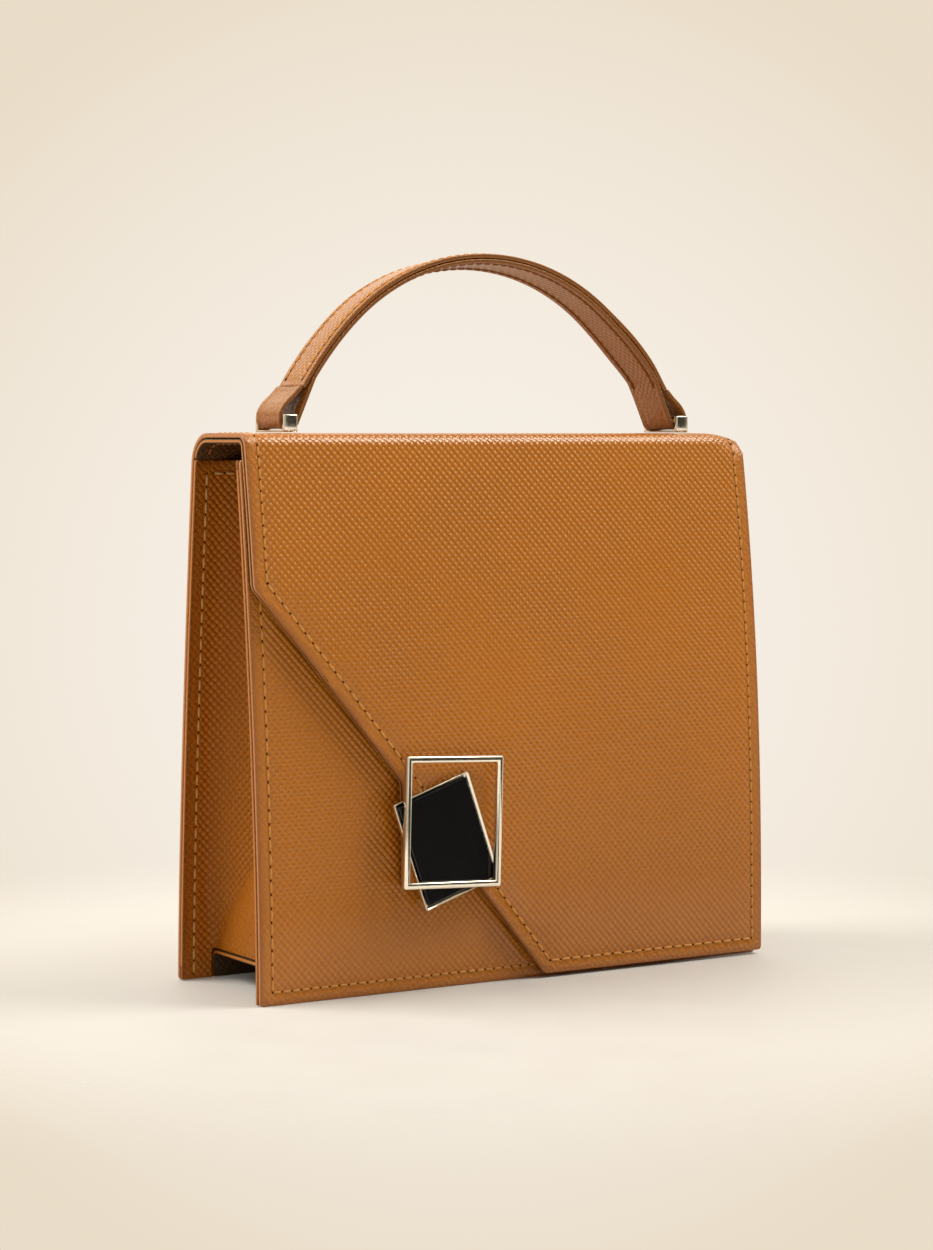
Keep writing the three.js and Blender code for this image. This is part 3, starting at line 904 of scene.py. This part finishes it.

# %% [markdown]
# A grid with the right number of points becomes the gusset when each point moves to its section. The
# seam grooves and the finish's marks are set on the same points, and the edges of the triangular fold
# stay sharp. Between the flanges, the grid is deleted below the base. The right gusset is the left one
# mirrored, and a mirrored mesh has to have its faces turned round again.

# %% Gussets
# The gussets use a darker tan than the cover as painted shade, since they sit back between the panels.
GUSSET_SHADED_TAN = (0.395, 0.115, 0.004, 1)
GUSSET_SHADED_HOLLOW = (0.17, 0.040, 0.002, 1)
GUSSET_RELIEF = 0.00055
GUSSET_ROUNDING = 0.4
GUSSET_HEM_Z = GUSSET_TOP_Z - SEAM_INSET
FLANGE_LEVELS = [GAP, 5]
FOLD_LEVELS = spread(GUSSET_FOOT_Z, FOLD_APEX_Z, 18)
UPPER_LEVELS = spread(58, GUSSET_HEM_Z - 5, 26)
HEM_LEVELS = [GUSSET_HEM_Z + step for step in SEAM_STEPS] + [GUSSET_TOP_Z]
GUSSET_LEVELS = FLANGE_LEVELS + FOLD_LEVELS + UPPER_LEVELS + HEM_LEVELS
LAST_POINT = len(gusset_section(SAMPLE_Z)) - 1
SEAM_POINT = 2
FLANGE_POINTS = (SEAM_POINT, LAST_POINT - SEAM_POINT)
FOLD_START = 1 + len(SEAM_STEPS) + WEB_STEPS
FOLD_POINTS = (FOLD_START, FOLD_START + CREASE_STEPS)
FOLD_MARGIN = 1.5
FOOT_REACH = 1.2
CLOSE = 0.01
SIDES = ((-1, "left"), (1, "right"))


def mark_gusset(bm, sections):
    """Move each grid point to its section, with its groove and its marks."""
    flat = bm.loops.layers.uv.new("flat")
    margin = bm.verts.layers.float.new("margin")
    rim = bm.verts.layers.float.new("rim")
    spots = {}
    folds = {}
    for vert in bm.verts:
        i = round((vert.co.x + 0.5) * LAST_POINT)
        level = round((vert.co.y + 0.5) * (len(GUSSET_LEVELS) - 1))
        section, z = sections[level], GUSSET_LEVELS[level]
        around = sum((b - a).length for a, b in zip(section[:i], section[1:i + 1]))
        spots[vert] = (around * MM, z * MM)
        if i in FOLD_POINTS and z < FOLD_APEX_Z:
            folds[vert] = i
        in_fold = FOLD_POINTS[0] <= i <= FOLD_POINTS[1] and z < FOLD_APEX_Z
        outside = not SEAM_POINT < i < LAST_POINT - SEAM_POINT or z > GUSSET_HEM_Z - CLOSE
        vert[margin] = FOLD_MARGIN if in_fold else 1.0 if outside else 0.0
        vert[rim] = 1.0 if i in (0, LAST_POINT) or z == GUSSET_TOP_Z else 0.0
        groove = 0.0
        if i in FLANGE_POINTS:
            groove = GROOVE if i == SEAM_POINT else -GROOVE
        vert.co = (section[i].x, section[i].y + groove, z)
    for face in bm.faces:
        for loop in face.loops:
            loop[flat].uv = spots[loop.vert]
    for edge in bm.edges:
        ends = [folds.get(vert) for vert in edge.verts]
        edge.smooth = ends[0] is None or ends[0] != ends[1]


def gusset(side):
    sections = [gusset_section(z) for z in GUSSET_LEVELS]
    bm = bmesh.new()
    bmesh.ops.create_grid(bm, x_segments=LAST_POINT, y_segments=len(GUSSET_LEVELS) - 1, size=0.5)
    mark_gusset(bm, sections)
    low = [face for face in bm.faces if face.calc_center_median().z < GUSSET_FOOT_Z
           and face.calc_center_median().x > -HALF + FLANGE - FOOT_REACH]
    bmesh.ops.delete(bm, geom=low, context="FACES")
    bm.normal_update()
    flange = min(bm.faces, key=lambda face: face.calc_center_median().x)
    middle_y = sections[-1][LAST_POINT // 2].y
    if flange.normal.y * (flange.calc_center_median().y - middle_y) > 0:
        bmesh.ops.reverse_faces(bm, faces=bm.faces[:])
    thicken(bm, LEATHER, GUSSET_ROUNDING)
    if side > 0:
        bmesh.ops.scale(bm, vec=(-1, 1, 1), verts=bm.verts[:])
        bmesh.ops.reverse_faces(bm, faces=bm.faces[:])
    return bm


shaded_gusset_finish = embossed_leather("gusset_leather", GUSSET_SHADED_TAN, GUSSET_SHADED_HOLLOW, EDGE_PAINT, coat=0.1,
                                 stamp_depth=GUSSET_RELIEF)
for side, word in SIDES:
    finish_piece(gusset(side), f"gusset_{word}_leather", shaded_gusset_finish, [f"gusset_{word}"])

# %% [markdown]
# The base is a strip with its two long edges turned down, sewn between the panels so that it hangs a
# little above the table. It is cut and bent as the other sheets are, and coloured near black as painted
# shade, because little light reaches under the bag.

# %% Base
BASE_Z = 10
BASE_PLAY = 0.1
BASE_HALF = HALF - FLANGE - BASE_PLAY
BASE_BEND = 3.5
BASE_BEND_STEPS = 8
MOST_OF_SIDE = 0.45
BASE_ROUNDING = 0.4
# The base's near black browns are painted shade for the underside of the bag.
BASE_SHADE_BROWN = (0.05, 0.020, 0.008, 1)
BASE_SHADE_DARK = (0.03, 0.012, 0.005, 1)


def base_bend(before, here, after):
    reach = min(BASE_BEND, MOST_OF_SIDE * (before - here).length, MOST_OF_SIDE * (after - here).length)
    return turn_corner(before, here, after, reach, BASE_BEND_STEPS)


base_corners = [
    Vector((seat_depth(BACK, GAP), GAP)),
    Vector((seat_depth(BACK, BASE_Z), BASE_Z)),
    Vector((seat_depth(FRONT, BASE_Z), BASE_Z)),
    Vector((seat_depth(FRONT, GAP), GAP)),
]
base_bends = base_bend(*base_corners[:3]) + base_bend(*base_corners[1:])
base_line = BendLine(base_corners[:1] + base_bends + base_corners[3:])
base_outline = [Vector(pair) for pair in strip_corners(BASE_HALF, base_line.length)]
base = lay_sheet(base_outline, [], base_line.lengths[1:-1], COLUMNS, base_line)
thicken(base, LEATHER, BASE_ROUNDING)
shaded_base_finish = embossed_leather("base_leather", BASE_SHADE_BROWN, BASE_SHADE_DARK, EDGE_PAINT, coat=0.1)
finish_piece(base, "base_leather_strip", shaded_base_finish, ["base_channel"])

# %% [markdown]
# The handle has two layers. The outer strap is an arch with two softly curved legs. The lining runs
# under it, and at each end it turns round the bracket's pin and comes back up to meet the strap. Both
# are lines in the front view: one half is drawn, mirrored, and then the right end reaches out a little
# further, as it does on the photographed bag.

# %% Handle lines
HANDLE_Y = -1.8
STRAP = 1.5
ARCH_Z = 169
ARCH_RADIUS = 78
ARCH_END_X = 52
LEG_BEND = Vector((63.75, 216.6))
LEG_END = Vector((73.5, 201))
TONGUE = ((75.9, 197.5), (78.8, 194.9), (80.5, 192.3))
TONGUE_START = 0.12
LOOP_RADIUS = 2.35
LOOP_INNER = 3.5
LOOP_TURNS = (math.radians(18), math.radians(-152))
BRACKET_X = 78.4
PIN_Z = 189.9
RIGHT_REACH = 1.6
REACH_X = (50, 74)
LEG_STEPS = 14
ARCH_STEPS = 48
LOOP_STEPS = 22
TONGUE_STEPS = 7
LOOP_JOIN = 2


def mirrored_line(points):
    return [Vector((-point.x, point.y)) for point in reversed(points)]


def reach_right(point):
    """The right end stands a little further out than the left one."""
    return point + Vector((RIGHT_REACH * ramp(point.x, *REACH_X), 0))


def smooth_line(points, steps):
    """A Catmull-Rom line through the points."""
    ends = [points[0] * 2 - points[1]] + list(points) + [points[-1] * 2 - points[-2]]
    line = []
    for a, b, c, d in zip(ends, ends[1:], ends[2:], ends[3:]):
        for t in spread(0, 1, steps)[:-1]:
            line.append(0.5 * (2 * b + (c - a) * t + (2 * a - 5 * b + 4 * c - d) * t * t
                               + (3 * b - a - 3 * c + d) * t ** 3))
    return line + [points[-1]]


def loop_point(turn):
    wide = LOOP_RADIUS if math.cos(turn) > 0 else LOOP_INNER
    return Vector((BRACKET_X + math.cos(turn) * wide, PIN_Z + math.sin(turn) * LOOP_RADIUS))


end_turn = math.acos(ARCH_END_X / ARCH_RADIUS)
shoulder = Vector((ARCH_END_X, ARCH_Z + ARCH_RADIUS * math.sin(end_turn)))
right_leg = soft_corner(LEG_END, LEG_BEND, shoulder, LEG_STEPS)
arch = [Vector((ARCH_RADIUS * math.cos(turn), ARCH_Z + ARCH_RADIUS * math.sin(turn)))
        for turn in spread(end_turn, math.pi - end_turn, ARCH_STEPS)]
even_points = right_leg[:-1] + arch + mirrored_line(right_leg)[1:]
even_line = BendLine(even_points, True, HANDLE_Y)
strap_line = BendLine([reach_right(point) for point in even_points], True, HANDLE_Y)

below = STRAP + GAP + LINING / 2
lining_middle = [point - out * below for point, out in zip(even_line.points, even_line.outs)]
leaving = (even_points[0] - even_points[1]).normalized()
tongue = even_points[0] + leaving * TONGUE_START - even_line.outs[0] * LINING / 2
loop = [loop_point(turn) for turn in spread(*LOOP_TURNS, LOOP_STEPS)]
hook = smooth_line([tongue] + [Vector(pair) for pair in TONGUE] + [loop[0]], TONGUE_STEPS)[:-1] + loop
hook += [loop[-1].lerp(lining_middle[LOOP_JOIN], share) for share in spread(0, 1, TONGUE_STEPS)[1:-1]]
grip_points = hook + lining_middle[LOOP_JOIN:-LOOP_JOIN] + mirrored_line(hook)
grip_line = BendLine([reach_right(point) for point in grip_points], True, HANDLE_Y)
print(f"handle strap {strap_line.length:.0f} mm, handle lining {grip_line.length:.0f} mm")

# %% [markdown]
# Both layers are long sheets laid on their lines. Hands have domed and twisted the real handle, so a
# lift that changes along the arch is added before the sheets get their thickness. The cut edges are
# painted dark, and the ends of the lining, which wrap the pins, are almost without stamp.

# %% Handle
HANDLE_HALF = 8.25
HANDLE_SEAM = 2.5
HANDLE_CORNER = 0.8
HANDLE_GROOVE = 0.2
HANDLE_ROUNDING = 0.4
HANDLE_COLUMNS = (-2, 2)
HANDLE_EDGE = (0.15, 0.054, 0.014, 1)
STRAP_TAN = (0.39, 0.126, 0.006, 1)
GRIP_TAN = (0.33, 0.113, 0.016, 1)
GRIP_HOLLOW = (0.22, 0.065, 0.010, 1)
EMBOSSED_Z = 199
PLAIN_MARGIN = 1.6
DOME = 0.35
NEAR_RISE = 0.7
NEAR_X = (48, 64)
NEAR_END_X = (68, 74)
FAR_DROP = 1.8
FAR_X = (-50, -10)
FAR_END_X = (60, 73)
HELD_AT_END = 0.8


def handle_lift(line, across, along):
    """The strap is slightly domed, and the hand has twisted it: its far edge hangs lower."""
    x = line.at(along)[0].x
    share = across / HANDLE_HALF
    near = NEAR_RISE * ramp(x, *NEAR_X) * (1 - HELD_AT_END * ramp(x, *NEAR_END_X))
    far = -FAR_DROP * ramp(x, *FAR_X) * (1 - HELD_AT_END * ramp(x, *FAR_END_X))
    return near * (1 - share) / 2 + far * (1 + share) / 2 - DOME * share ** 2


def handle_sheet(line, start_lift, groove):
    def lift(across, along):
        return start_lift + handle_lift(line, across, along)

    corners = strip_corners(HANDLE_HALF, line.length)
    seam = inset_path(corners, HANDLE_SEAM)
    return lay_sheet(rounded(corners, HANDLE_CORNER), seam, line.lengths[1:-1], HANDLE_COLUMNS, line,
                     lift=lift, groove=groove, inset=HANDLE_SEAM)


strap = handle_sheet(strap_line, 0.0, HANDLE_GROOVE)
thicken(strap, STRAP, HANDLE_ROUNDING)
strap_finish = embossed_leather("handle_leather", STRAP_TAN, HOLLOW, HANDLE_EDGE, coat=0.6)
finish_piece(strap, "handle_strap_leather", strap_finish, ["handle_strap"])

grip = handle_sheet(grip_line, LINING / 2, -HANDLE_GROOVE)
margin = grip.verts.layers.float["margin"]
for vert in grip.verts:
    if vert.co.z < EMBOSSED_Z:
        vert[margin] = PLAIN_MARGIN
thicken(grip, LINING, HANDLE_ROUNDING)
grip_finish = embossed_leather("handle_lining_leather", GRIP_TAN, GRIP_HOLLOW, HANDLE_EDGE, coat=0.5,
                               inner=GRIP_TAN)
finish_piece(grip, "handle_lining_leather", grip_finish, ["handle_lining"])

# %% [markdown]
# The fittings are cast, plated pale gold and polished. Polish is never perfect, so fine noise changes
# the roughness and the bump a little, as wiping marks do. What makes such metal read as metal is its
# small rounded edges, which catch the lamps, so each shape is made square first and then bevelled. The
# finish needs a tone, a roughness and a relief, each with its own noise. Enamel and thread will need
# the same three, so one helper serves them all.

# %% Polished metal
PALE_GOLD = (0.93, 0.86, 0.71, 1)
WIPE_NOISE = (900, 3)


def plain_finish(name, colour, shade, clouds, grain, roughness, ripples, strength, depth, **shader):
    """Three noises change the tone, the roughness and the relief of a finish without a stamp."""
    material, tree = new_material(name)
    cloud, dull, ripple = [noise(tree, object_place(tree), *kind) for kind in (clouds, grain, ripples)]
    tone = mix_colours(tree, cloud, colour, darker(colour, shade))
    rough = map_range(tree, dull, *NOISE_RANGE, *roughness)
    bump = add_node(tree, "ShaderNodeBump", Strength=strength, Distance=depth, Height=ripple)
    surface = add_node(tree, "ShaderNodeBsdfPrincipled", Base_Color=tone, Roughness=rough,
                       Normal=bump.outputs[0], **shader)
    close_material(tree, surface)
    return material


def round_edges(bm, edges, offset, segments=3):
    bmesh.ops.bevel(bm, geom=sharp_edges(edges), offset=offset, segments=segments, profile=0.5,
                    affect="EDGES", clamp_overlap=True, material=-1)


gold_finish = plain_finish("pale_gold", PALE_GOLD, shade=0.88, clouds=(60, 2), grain=WIPE_NOISE,
                           roughness=(0.10, 0.19), ripples=WIPE_NOISE, strength=0.25, depth=0.00003,
                           Metallic=1.0)
print("metal finish:", gold_finish.name)

# %% [markdown]
# A bracket is a thin plate with two posts, and a pin between the posts carries the handle's loop. Three
# blocks and a rod make it. The rod goes in after the blocks are bevelled, so that it stays round.

# %% Brackets
BRACKET_WIDTH = 5.0
BRACKET_ROUNDING = 0.4
POST = 1.6
POST_TOP_Z = 191.6
PLATE = 0.7
PIN_RADIUS = 1.3
PIN_SIDES = 24


def block(bm, centre, size):
    matrix = Matrix.Translation(centre) @ Matrix.Diagonal((*size, 1))
    bmesh.ops.create_cube(bm, size=1, matrix=matrix)


def bracket(side):
    bm = bmesh.new()
    foot_z = TOP_Z + GAP
    inner = HANDLE_HALF + GAP
    x = reach_right(Vector((side * BRACKET_X, PIN_Z))).x
    block(bm, (x, HANDLE_Y, foot_z + PLATE / 2), (BRACKET_WIDTH, 2 * (inner + POST), PLATE))
    for end in (-1, 1):
        centre = (x, HANDLE_Y + end * (inner + POST / 2), (foot_z + POST_TOP_Z) / 2)
        block(bm, centre, (BRACKET_WIDTH, POST, POST_TOP_Z - foot_z))
    round_edges(bm, bm.edges, BRACKET_ROUNDING)
    across = Matrix.Translation((x, HANDLE_Y, PIN_Z)) @ Matrix.Rotation(math.pi / 2, 4, "X")
    bmesh.ops.create_cone(bm, cap_ends=True, segments=PIN_SIDES, radius1=PIN_RADIUS, radius2=PIN_RADIUS,
                          depth=2 * inner + POST, matrix=across)
    return bm


for side, word in SIDES:
    finish_piece(bracket(side), f"bracket_{word}_metal", gold_finish, [f"bracket_{word}"])

# %% [markdown]
# The clasp is a shallow tray turned on its corner, with an upright frame soldered over it. A block with
# an inset, sunken top makes the tray. The frame is a flat ring, thickened and bevelled. Both are drawn
# lying down, and then leaned with the flap that they sit on.

# %% Clasp setting
TRAY_SPOT = Vector((-32.5, 50.0))
TRAY_SIZE = (30.4, 38.0, 2.2)
TRAY_FLOOR = 0.9
TRAY_RIM = 1.1
TRAY_ROUNDING = 0.5
TRAY_TURN = Matrix.Rotation(math.radians(18.4), 3, "Z")
FRAME_SPOT = Vector((-31.2, 56.4))
FRAME_SIZE = (37.7, 44.0)
FRAME_BAR = 2.2
FRAME_DEPTH = 2.6
FRAME_ROUNDING = 0.7
FRAME_TURN = Matrix.Rotation(math.radians(-2.6), 3, "Z")
SOLDER = 0.05
UPWARD = 0.9

lean = wall_lean(FLAP, TRAY_SPOT.y)
on_flap = Matrix.Translation((TRAY_SPOT.x, wall_depth(FLAP, TRAY_SPOT.y) - GAP, TRAY_SPOT.y))
on_flap = on_flap @ Matrix.Rotation(math.pi / 2 - lean, 4, "X")


def enamel_tray():
    bm = bmesh.new()
    block(bm, (0, 0, TRAY_SIZE[2] / 2), TRAY_SIZE)
    bm.normal_update()
    top = [face for face in bm.faces if face.normal.z > UPWARD]
    bmesh.ops.inset_region(bm, faces=top, thickness=TRAY_RIM, use_even_offset=True)
    bmesh.ops.translate(bm, vec=(0, 0, TRAY_FLOOR - TRAY_SIZE[2]), verts=top[0].verts[:])
    round_edges(bm, bm.edges, TRAY_ROUNDING)
    bmesh.ops.rotate(bm, matrix=TRAY_TURN, verts=bm.verts[:])
    return bm


def add_frame(bm):
    old = set(bm.verts)
    made = bmesh.ops.create_grid(bm, x_segments=1, y_segments=1, size=0.5)
    bmesh.ops.scale(bm, vec=(*FRAME_SIZE, 1), verts=made["verts"])
    face = made["verts"][0].link_faces[0]
    bmesh.ops.inset_region(bm, faces=[face], thickness=FRAME_BAR, use_boundary=True, use_even_offset=True)
    bmesh.ops.delete(bm, geom=[face], context="FACES")
    bars = [item for item in bm.faces if not old.intersection(item.verts)]
    bmesh.ops.solidify(bm, geom=bars, thickness=FRAME_DEPTH)
    edges = [edge for edge in bm.edges if not old.intersection(edge.verts)]
    round_edges(bm, edges, FRAME_ROUNDING)
    new = [vert for vert in bm.verts if vert not in old]
    bmesh.ops.rotate(bm, matrix=FRAME_TURN, verts=new)
    offset = FRAME_SPOT - TRAY_SPOT
    bmesh.ops.translate(bm, vec=(offset.x, offset.y, TRAY_SIZE[2] + FRAME_DEPTH - SOLDER), verts=new)


setting = enamel_tray()
add_frame(setting)
bmesh.ops.transform(setting, matrix=on_flap, verts=setting.verts[:])
bmesh.ops.recalc_face_normals(setting, faces=setting.faces[:])
finish_piece(setting, "clasp_gold", gold_finish, ["clasp_setting"])

# %% [markdown]
# Black enamel fills the tray up to just under its rim. It is a low block, set off from the walls of the
# tray by a hairline. It is shaded flat, so that its top mirrors the room evenly, and its finish is a
# near black under a thin clear coat, with a faint ripple and a little dust.

# %% Enamel
ENAMEL_BLACK = (0.008, 0.008, 0.009, 1)
ENAMEL_ROUNDING = 0.2
ENAMEL_RIPPLE = (120, 2)
ENAMEL_DUST = (1500, 2)

enamel = bmesh.new()
side_gap = 2 * (TRAY_RIM + GAP)
enamel_low = TRAY_FLOOR + GAP
enamel_size = (TRAY_SIZE[0] - side_gap, TRAY_SIZE[1] - side_gap, TRAY_SIZE[2] - GAP - enamel_low)
block(enamel, (0, 0, enamel_low + enamel_size[2] / 2), enamel_size)
round_edges(enamel, enamel.edges, ENAMEL_ROUNDING, segments=2)
bmesh.ops.rotate(enamel, matrix=TRAY_TURN, verts=enamel.verts[:])
bmesh.ops.transform(enamel, matrix=on_flap, verts=enamel.verts[:])
enamel_finish = plain_finish("black_enamel", ENAMEL_BLACK, shade=0.6, clouds=ENAMEL_RIPPLE, grain=ENAMEL_DUST,
                             roughness=(0.05, 0.13), ripples=ENAMEL_RIPPLE, strength=0.3, depth=0.00006,
                             Specular_IOR_Level=0.3, Coat_Weight=0.2, Coat_Roughness=0.04)
finish_piece(enamel, "clasp_enamel_fill", enamel_finish, ["clasp_enamel"], smooth=False)

# %% [markdown]
# The thread is waxed linen, a little lighter than the leather, and fine noise stands for its twist. On
# the handle's lining it is darker, and on the gussets paler. The needle holes are dark brown discs,
# painted shade for the inside of each hole, and have no shine at all.

# %% Thread
TWIST = (3000, 2)
WAX_SHINE = 0.15
NO_SHINE = 0.0
THREAD_TAN = (0.66, 0.295, 0.07, 1)
THREAD_PALE = (0.66, 0.36, 0.12, 1)
THREAD_DARK = (0.26, 0.090, 0.018, 1)
# Painted shade: the dark brown of the needle holes stands for the shade inside them.
HOLE_SHADE_BROWN = (0.055, 0.013, 0.002, 1)

twisted = partial(plain_finish, shade=0.6, clouds=TWIST, grain=TWIST, roughness=(0.5, 0.7), ripples=TWIST,
                  strength=0.6, depth=0.0001)
tan_thread = twisted("tan_thread", THREAD_TAN, Specular_IOR_Level=WAX_SHINE)
pale_thread = twisted("pale_thread", THREAD_PALE, Specular_IOR_Level=WAX_SHINE)
dark_thread = twisted("lining_thread", THREAD_DARK, Specular_IOR_Level=WAX_SHINE)
hole_shade_finish = twisted("needle_hole_brown", HOLE_SHADE_BROWN, Specular_IOR_Level=NO_SHINE)
print("threads:", tan_thread.name, pale_thread.name, dark_thread.name)

# %% [markdown]
# One stitch is a small stretched ball of a few dozen faces that dips into a hole at each end, because
# hundreds of round thread curves would be far heavier and look the same. The path that grooved the
# leather gives the places too, so thread, hole and groove always meet.

# %% Stitches
THREAD_WIDTH = 1.05
THREAD_HEIGHT = 0.9
THREAD_SHARE = 0.86
THREAD_LIFT = 0.12
HOLE_SUNK = 0.13
HOLE_DEPTH = 0.4
HOLE_TIP = 0.2
WIDE_HOLE = 0.8
GUSSET_HOLE = 0.38
FINE_HOLE = 0.3
STEEP = 2


def hole_rows(path, upright, level, spot, closed=False):
    """Needle holes along each straight run of a path, as places with their way out."""
    pairs = closed_pairs(path) if closed else list(zip(path, path[1:]))
    rows = []
    for start, end in pairs:
        run = end - start
        pitch = upright if abs(run.y) > STEEP * abs(run.x) else level
        count = max(1, round(run.length / pitch))
        rows.append([spot(start.lerp(end, share)) for share in spread(0, 1, count)])
    return rows


def on_leather(line, shape, lift, flip, point):
    """A place on a bent sheet: its line, how the sheet is lifted there, and which side is sewn."""
    height = lift + shape(line, point.x, point.y)
    return line.place(point.x, point.y, height), line.out(point.y) * flip


def sew(name, rows, thread, hole_radius):
    threads = bmesh.new()
    holes = bmesh.new()
    for row in rows:
        for (start, out_start), (end, out_end) in zip(row, row[1:]):
            run = end - start
            across = (out_start + out_end).cross(run).normalized()
            out = run.cross(across).normalized()
            sides = (across * THREAD_WIDTH, out * THREAD_HEIGHT, run * THREAD_SHARE)
            turn = Matrix(sides).transposed().to_4x4()
            middle = Matrix.Translation((start + end) / 2 + out * THREAD_LIFT)
            bmesh.ops.create_uvsphere(threads, u_segments=6, v_segments=5, radius=0.5, matrix=middle @ turn)
        for place, out in row:
            turn = out.to_track_quat("Z", "Y").to_matrix().to_4x4()
            sunk = Matrix.Translation(place - out * HOLE_SUNK)
            bmesh.ops.create_cone(holes, cap_ends=True, segments=8, radius1=HOLE_TIP, radius2=hole_radius,
                                  depth=HOLE_DEPTH, matrix=sunk @ turn)
    finish_piece(threads, f"{name}_thread", thread)
    finish_piece(holes, f"{name}_needle_holes", hole_shade_finish)


print(f"a stitch is {THREAD_WIDTH} mm wide")

# %% [markdown]
# The cover and the front panel are sewn round and round. Upright and level runs have slightly different
# stitch lengths, counted on the real bag. The handle is sewn along its two long sides, on the strap from
# above and on the lining from below.

# %% Sew the panels and the handle
COVER_STITCH = (3.75, 4.2)
PANEL_STITCH = (4.55, 3.55)
HANDLE_STITCH = 3.4
STRAP_START = 3
GRIP_SEWN_Z = 201
GRIP_THREAD_LIFT = 0.1


def both_sides(half, start, end, pitch, spot):
    """Needle holes along a sheet, one row near each side."""
    rows = []
    for side, _ in SIDES:
        run = [Vector((side * half, start)), Vector((side * half, end))]
        rows += hole_rows(run, pitch, pitch, spot)
    return rows


on_cover = partial(on_leather, cover_line, corner_droop, -GROOVE, 1)
on_front = partial(on_leather, front_line, corner_droop, -GROOVE, 1)
cover_holes = hole_rows(cover_seam, *COVER_STITCH, on_cover, closed=True)
front_holes = hole_rows(front_seam, *PANEL_STITCH, on_front, closed=True)
sew("cover", cover_holes, tan_thread, WIDE_HOLE)
sew("front_panel", front_holes, tan_thread, WIDE_HOLE)

handle_reach = HANDLE_HALF - HANDLE_SEAM
on_strap = partial(on_leather, strap_line, handle_lift, -HANDLE_GROOVE, 1)
strap_end = strap_line.length - STRAP_START
strap_holes = both_sides(handle_reach, STRAP_START, strap_end, HANDLE_STITCH, on_strap)
sew("handle_strap", strap_holes, tan_thread, WIDE_HOLE)

on_grip = partial(on_leather, grip_line, handle_lift, GRIP_THREAD_LIFT - LINING / 2, -1)
grip_start = grip_line.along_at(lambda point: point.y > GRIP_SEWN_Z)
grip_end = grip_line.length - grip_start
grip_holes = both_sides(handle_reach, grip_start, grip_end, HANDLE_STITCH, on_grip)
sew("handle_lining", grip_holes, dark_thread, FINE_HOLE)

# %% [markdown]
# On the gussets, a row runs up each flange and one follows the folded hem at the top. Inside the slot,
# a short row holds the flap's lining. These seams lie in the shade and use finer holes.

# %% Sew the gussets and the lining
FLANGE_STITCH = 4.55
FLANGE_START_Z = 2.0
HEM_STITCH = 4.2
HEM_END = 1
LINING_STITCH = 4.0
LINING_SEWN = (2, 30)


def on_flange(wall, turn, side, point):
    face = seat_depth(wall, point.y) + turn * (LEATHER - GROOVE)
    return Vector((side * FLANGE_SEAM, face, point.y)), Vector((0, turn, 0))


flange_run = [Vector((0, FLANGE_START_Z)), Vector((0, GUSSET_HEM_Z))]
gusset_rows = []
for wall, turn in ((BACK, -1), (FRONT, 1)):
    for side, _ in SIDES:
        on_side = partial(on_flange, wall, turn, side)
        gusset_rows += hole_rows(flange_run, FLANGE_STITCH, FLANGE_STITCH, on_side)
hem_line = BendLine(gusset_section(GUSSET_HEM_Z)[SEAM_POINT + 1:-SEAM_POINT - 1])
hem_count = round(hem_line.length / HEM_STITCH)
for side, _ in SIDES:
    row = []
    for along in spread(HEM_END, hem_line.length - HEM_END, hem_count):
        point, out = hem_line.at(along)
        row.append((Vector((-side * point.x, point.y, GUSSET_HEM_Z)), Vector((-side * out.x, out.y, 0))))
    gusset_rows.append(row)
sew("gusset", gusset_rows, pale_thread, GUSSET_HOLE)

on_lining = partial(on_leather, lining_line, corner_droop, -LINING, -1)
lining_holes = both_sides(FLANGE_SEAM, *LINING_SEWN, LINING_STITCH, on_lining)
sew("flap_lining", lining_holes, dark_thread, FINE_HOLE)
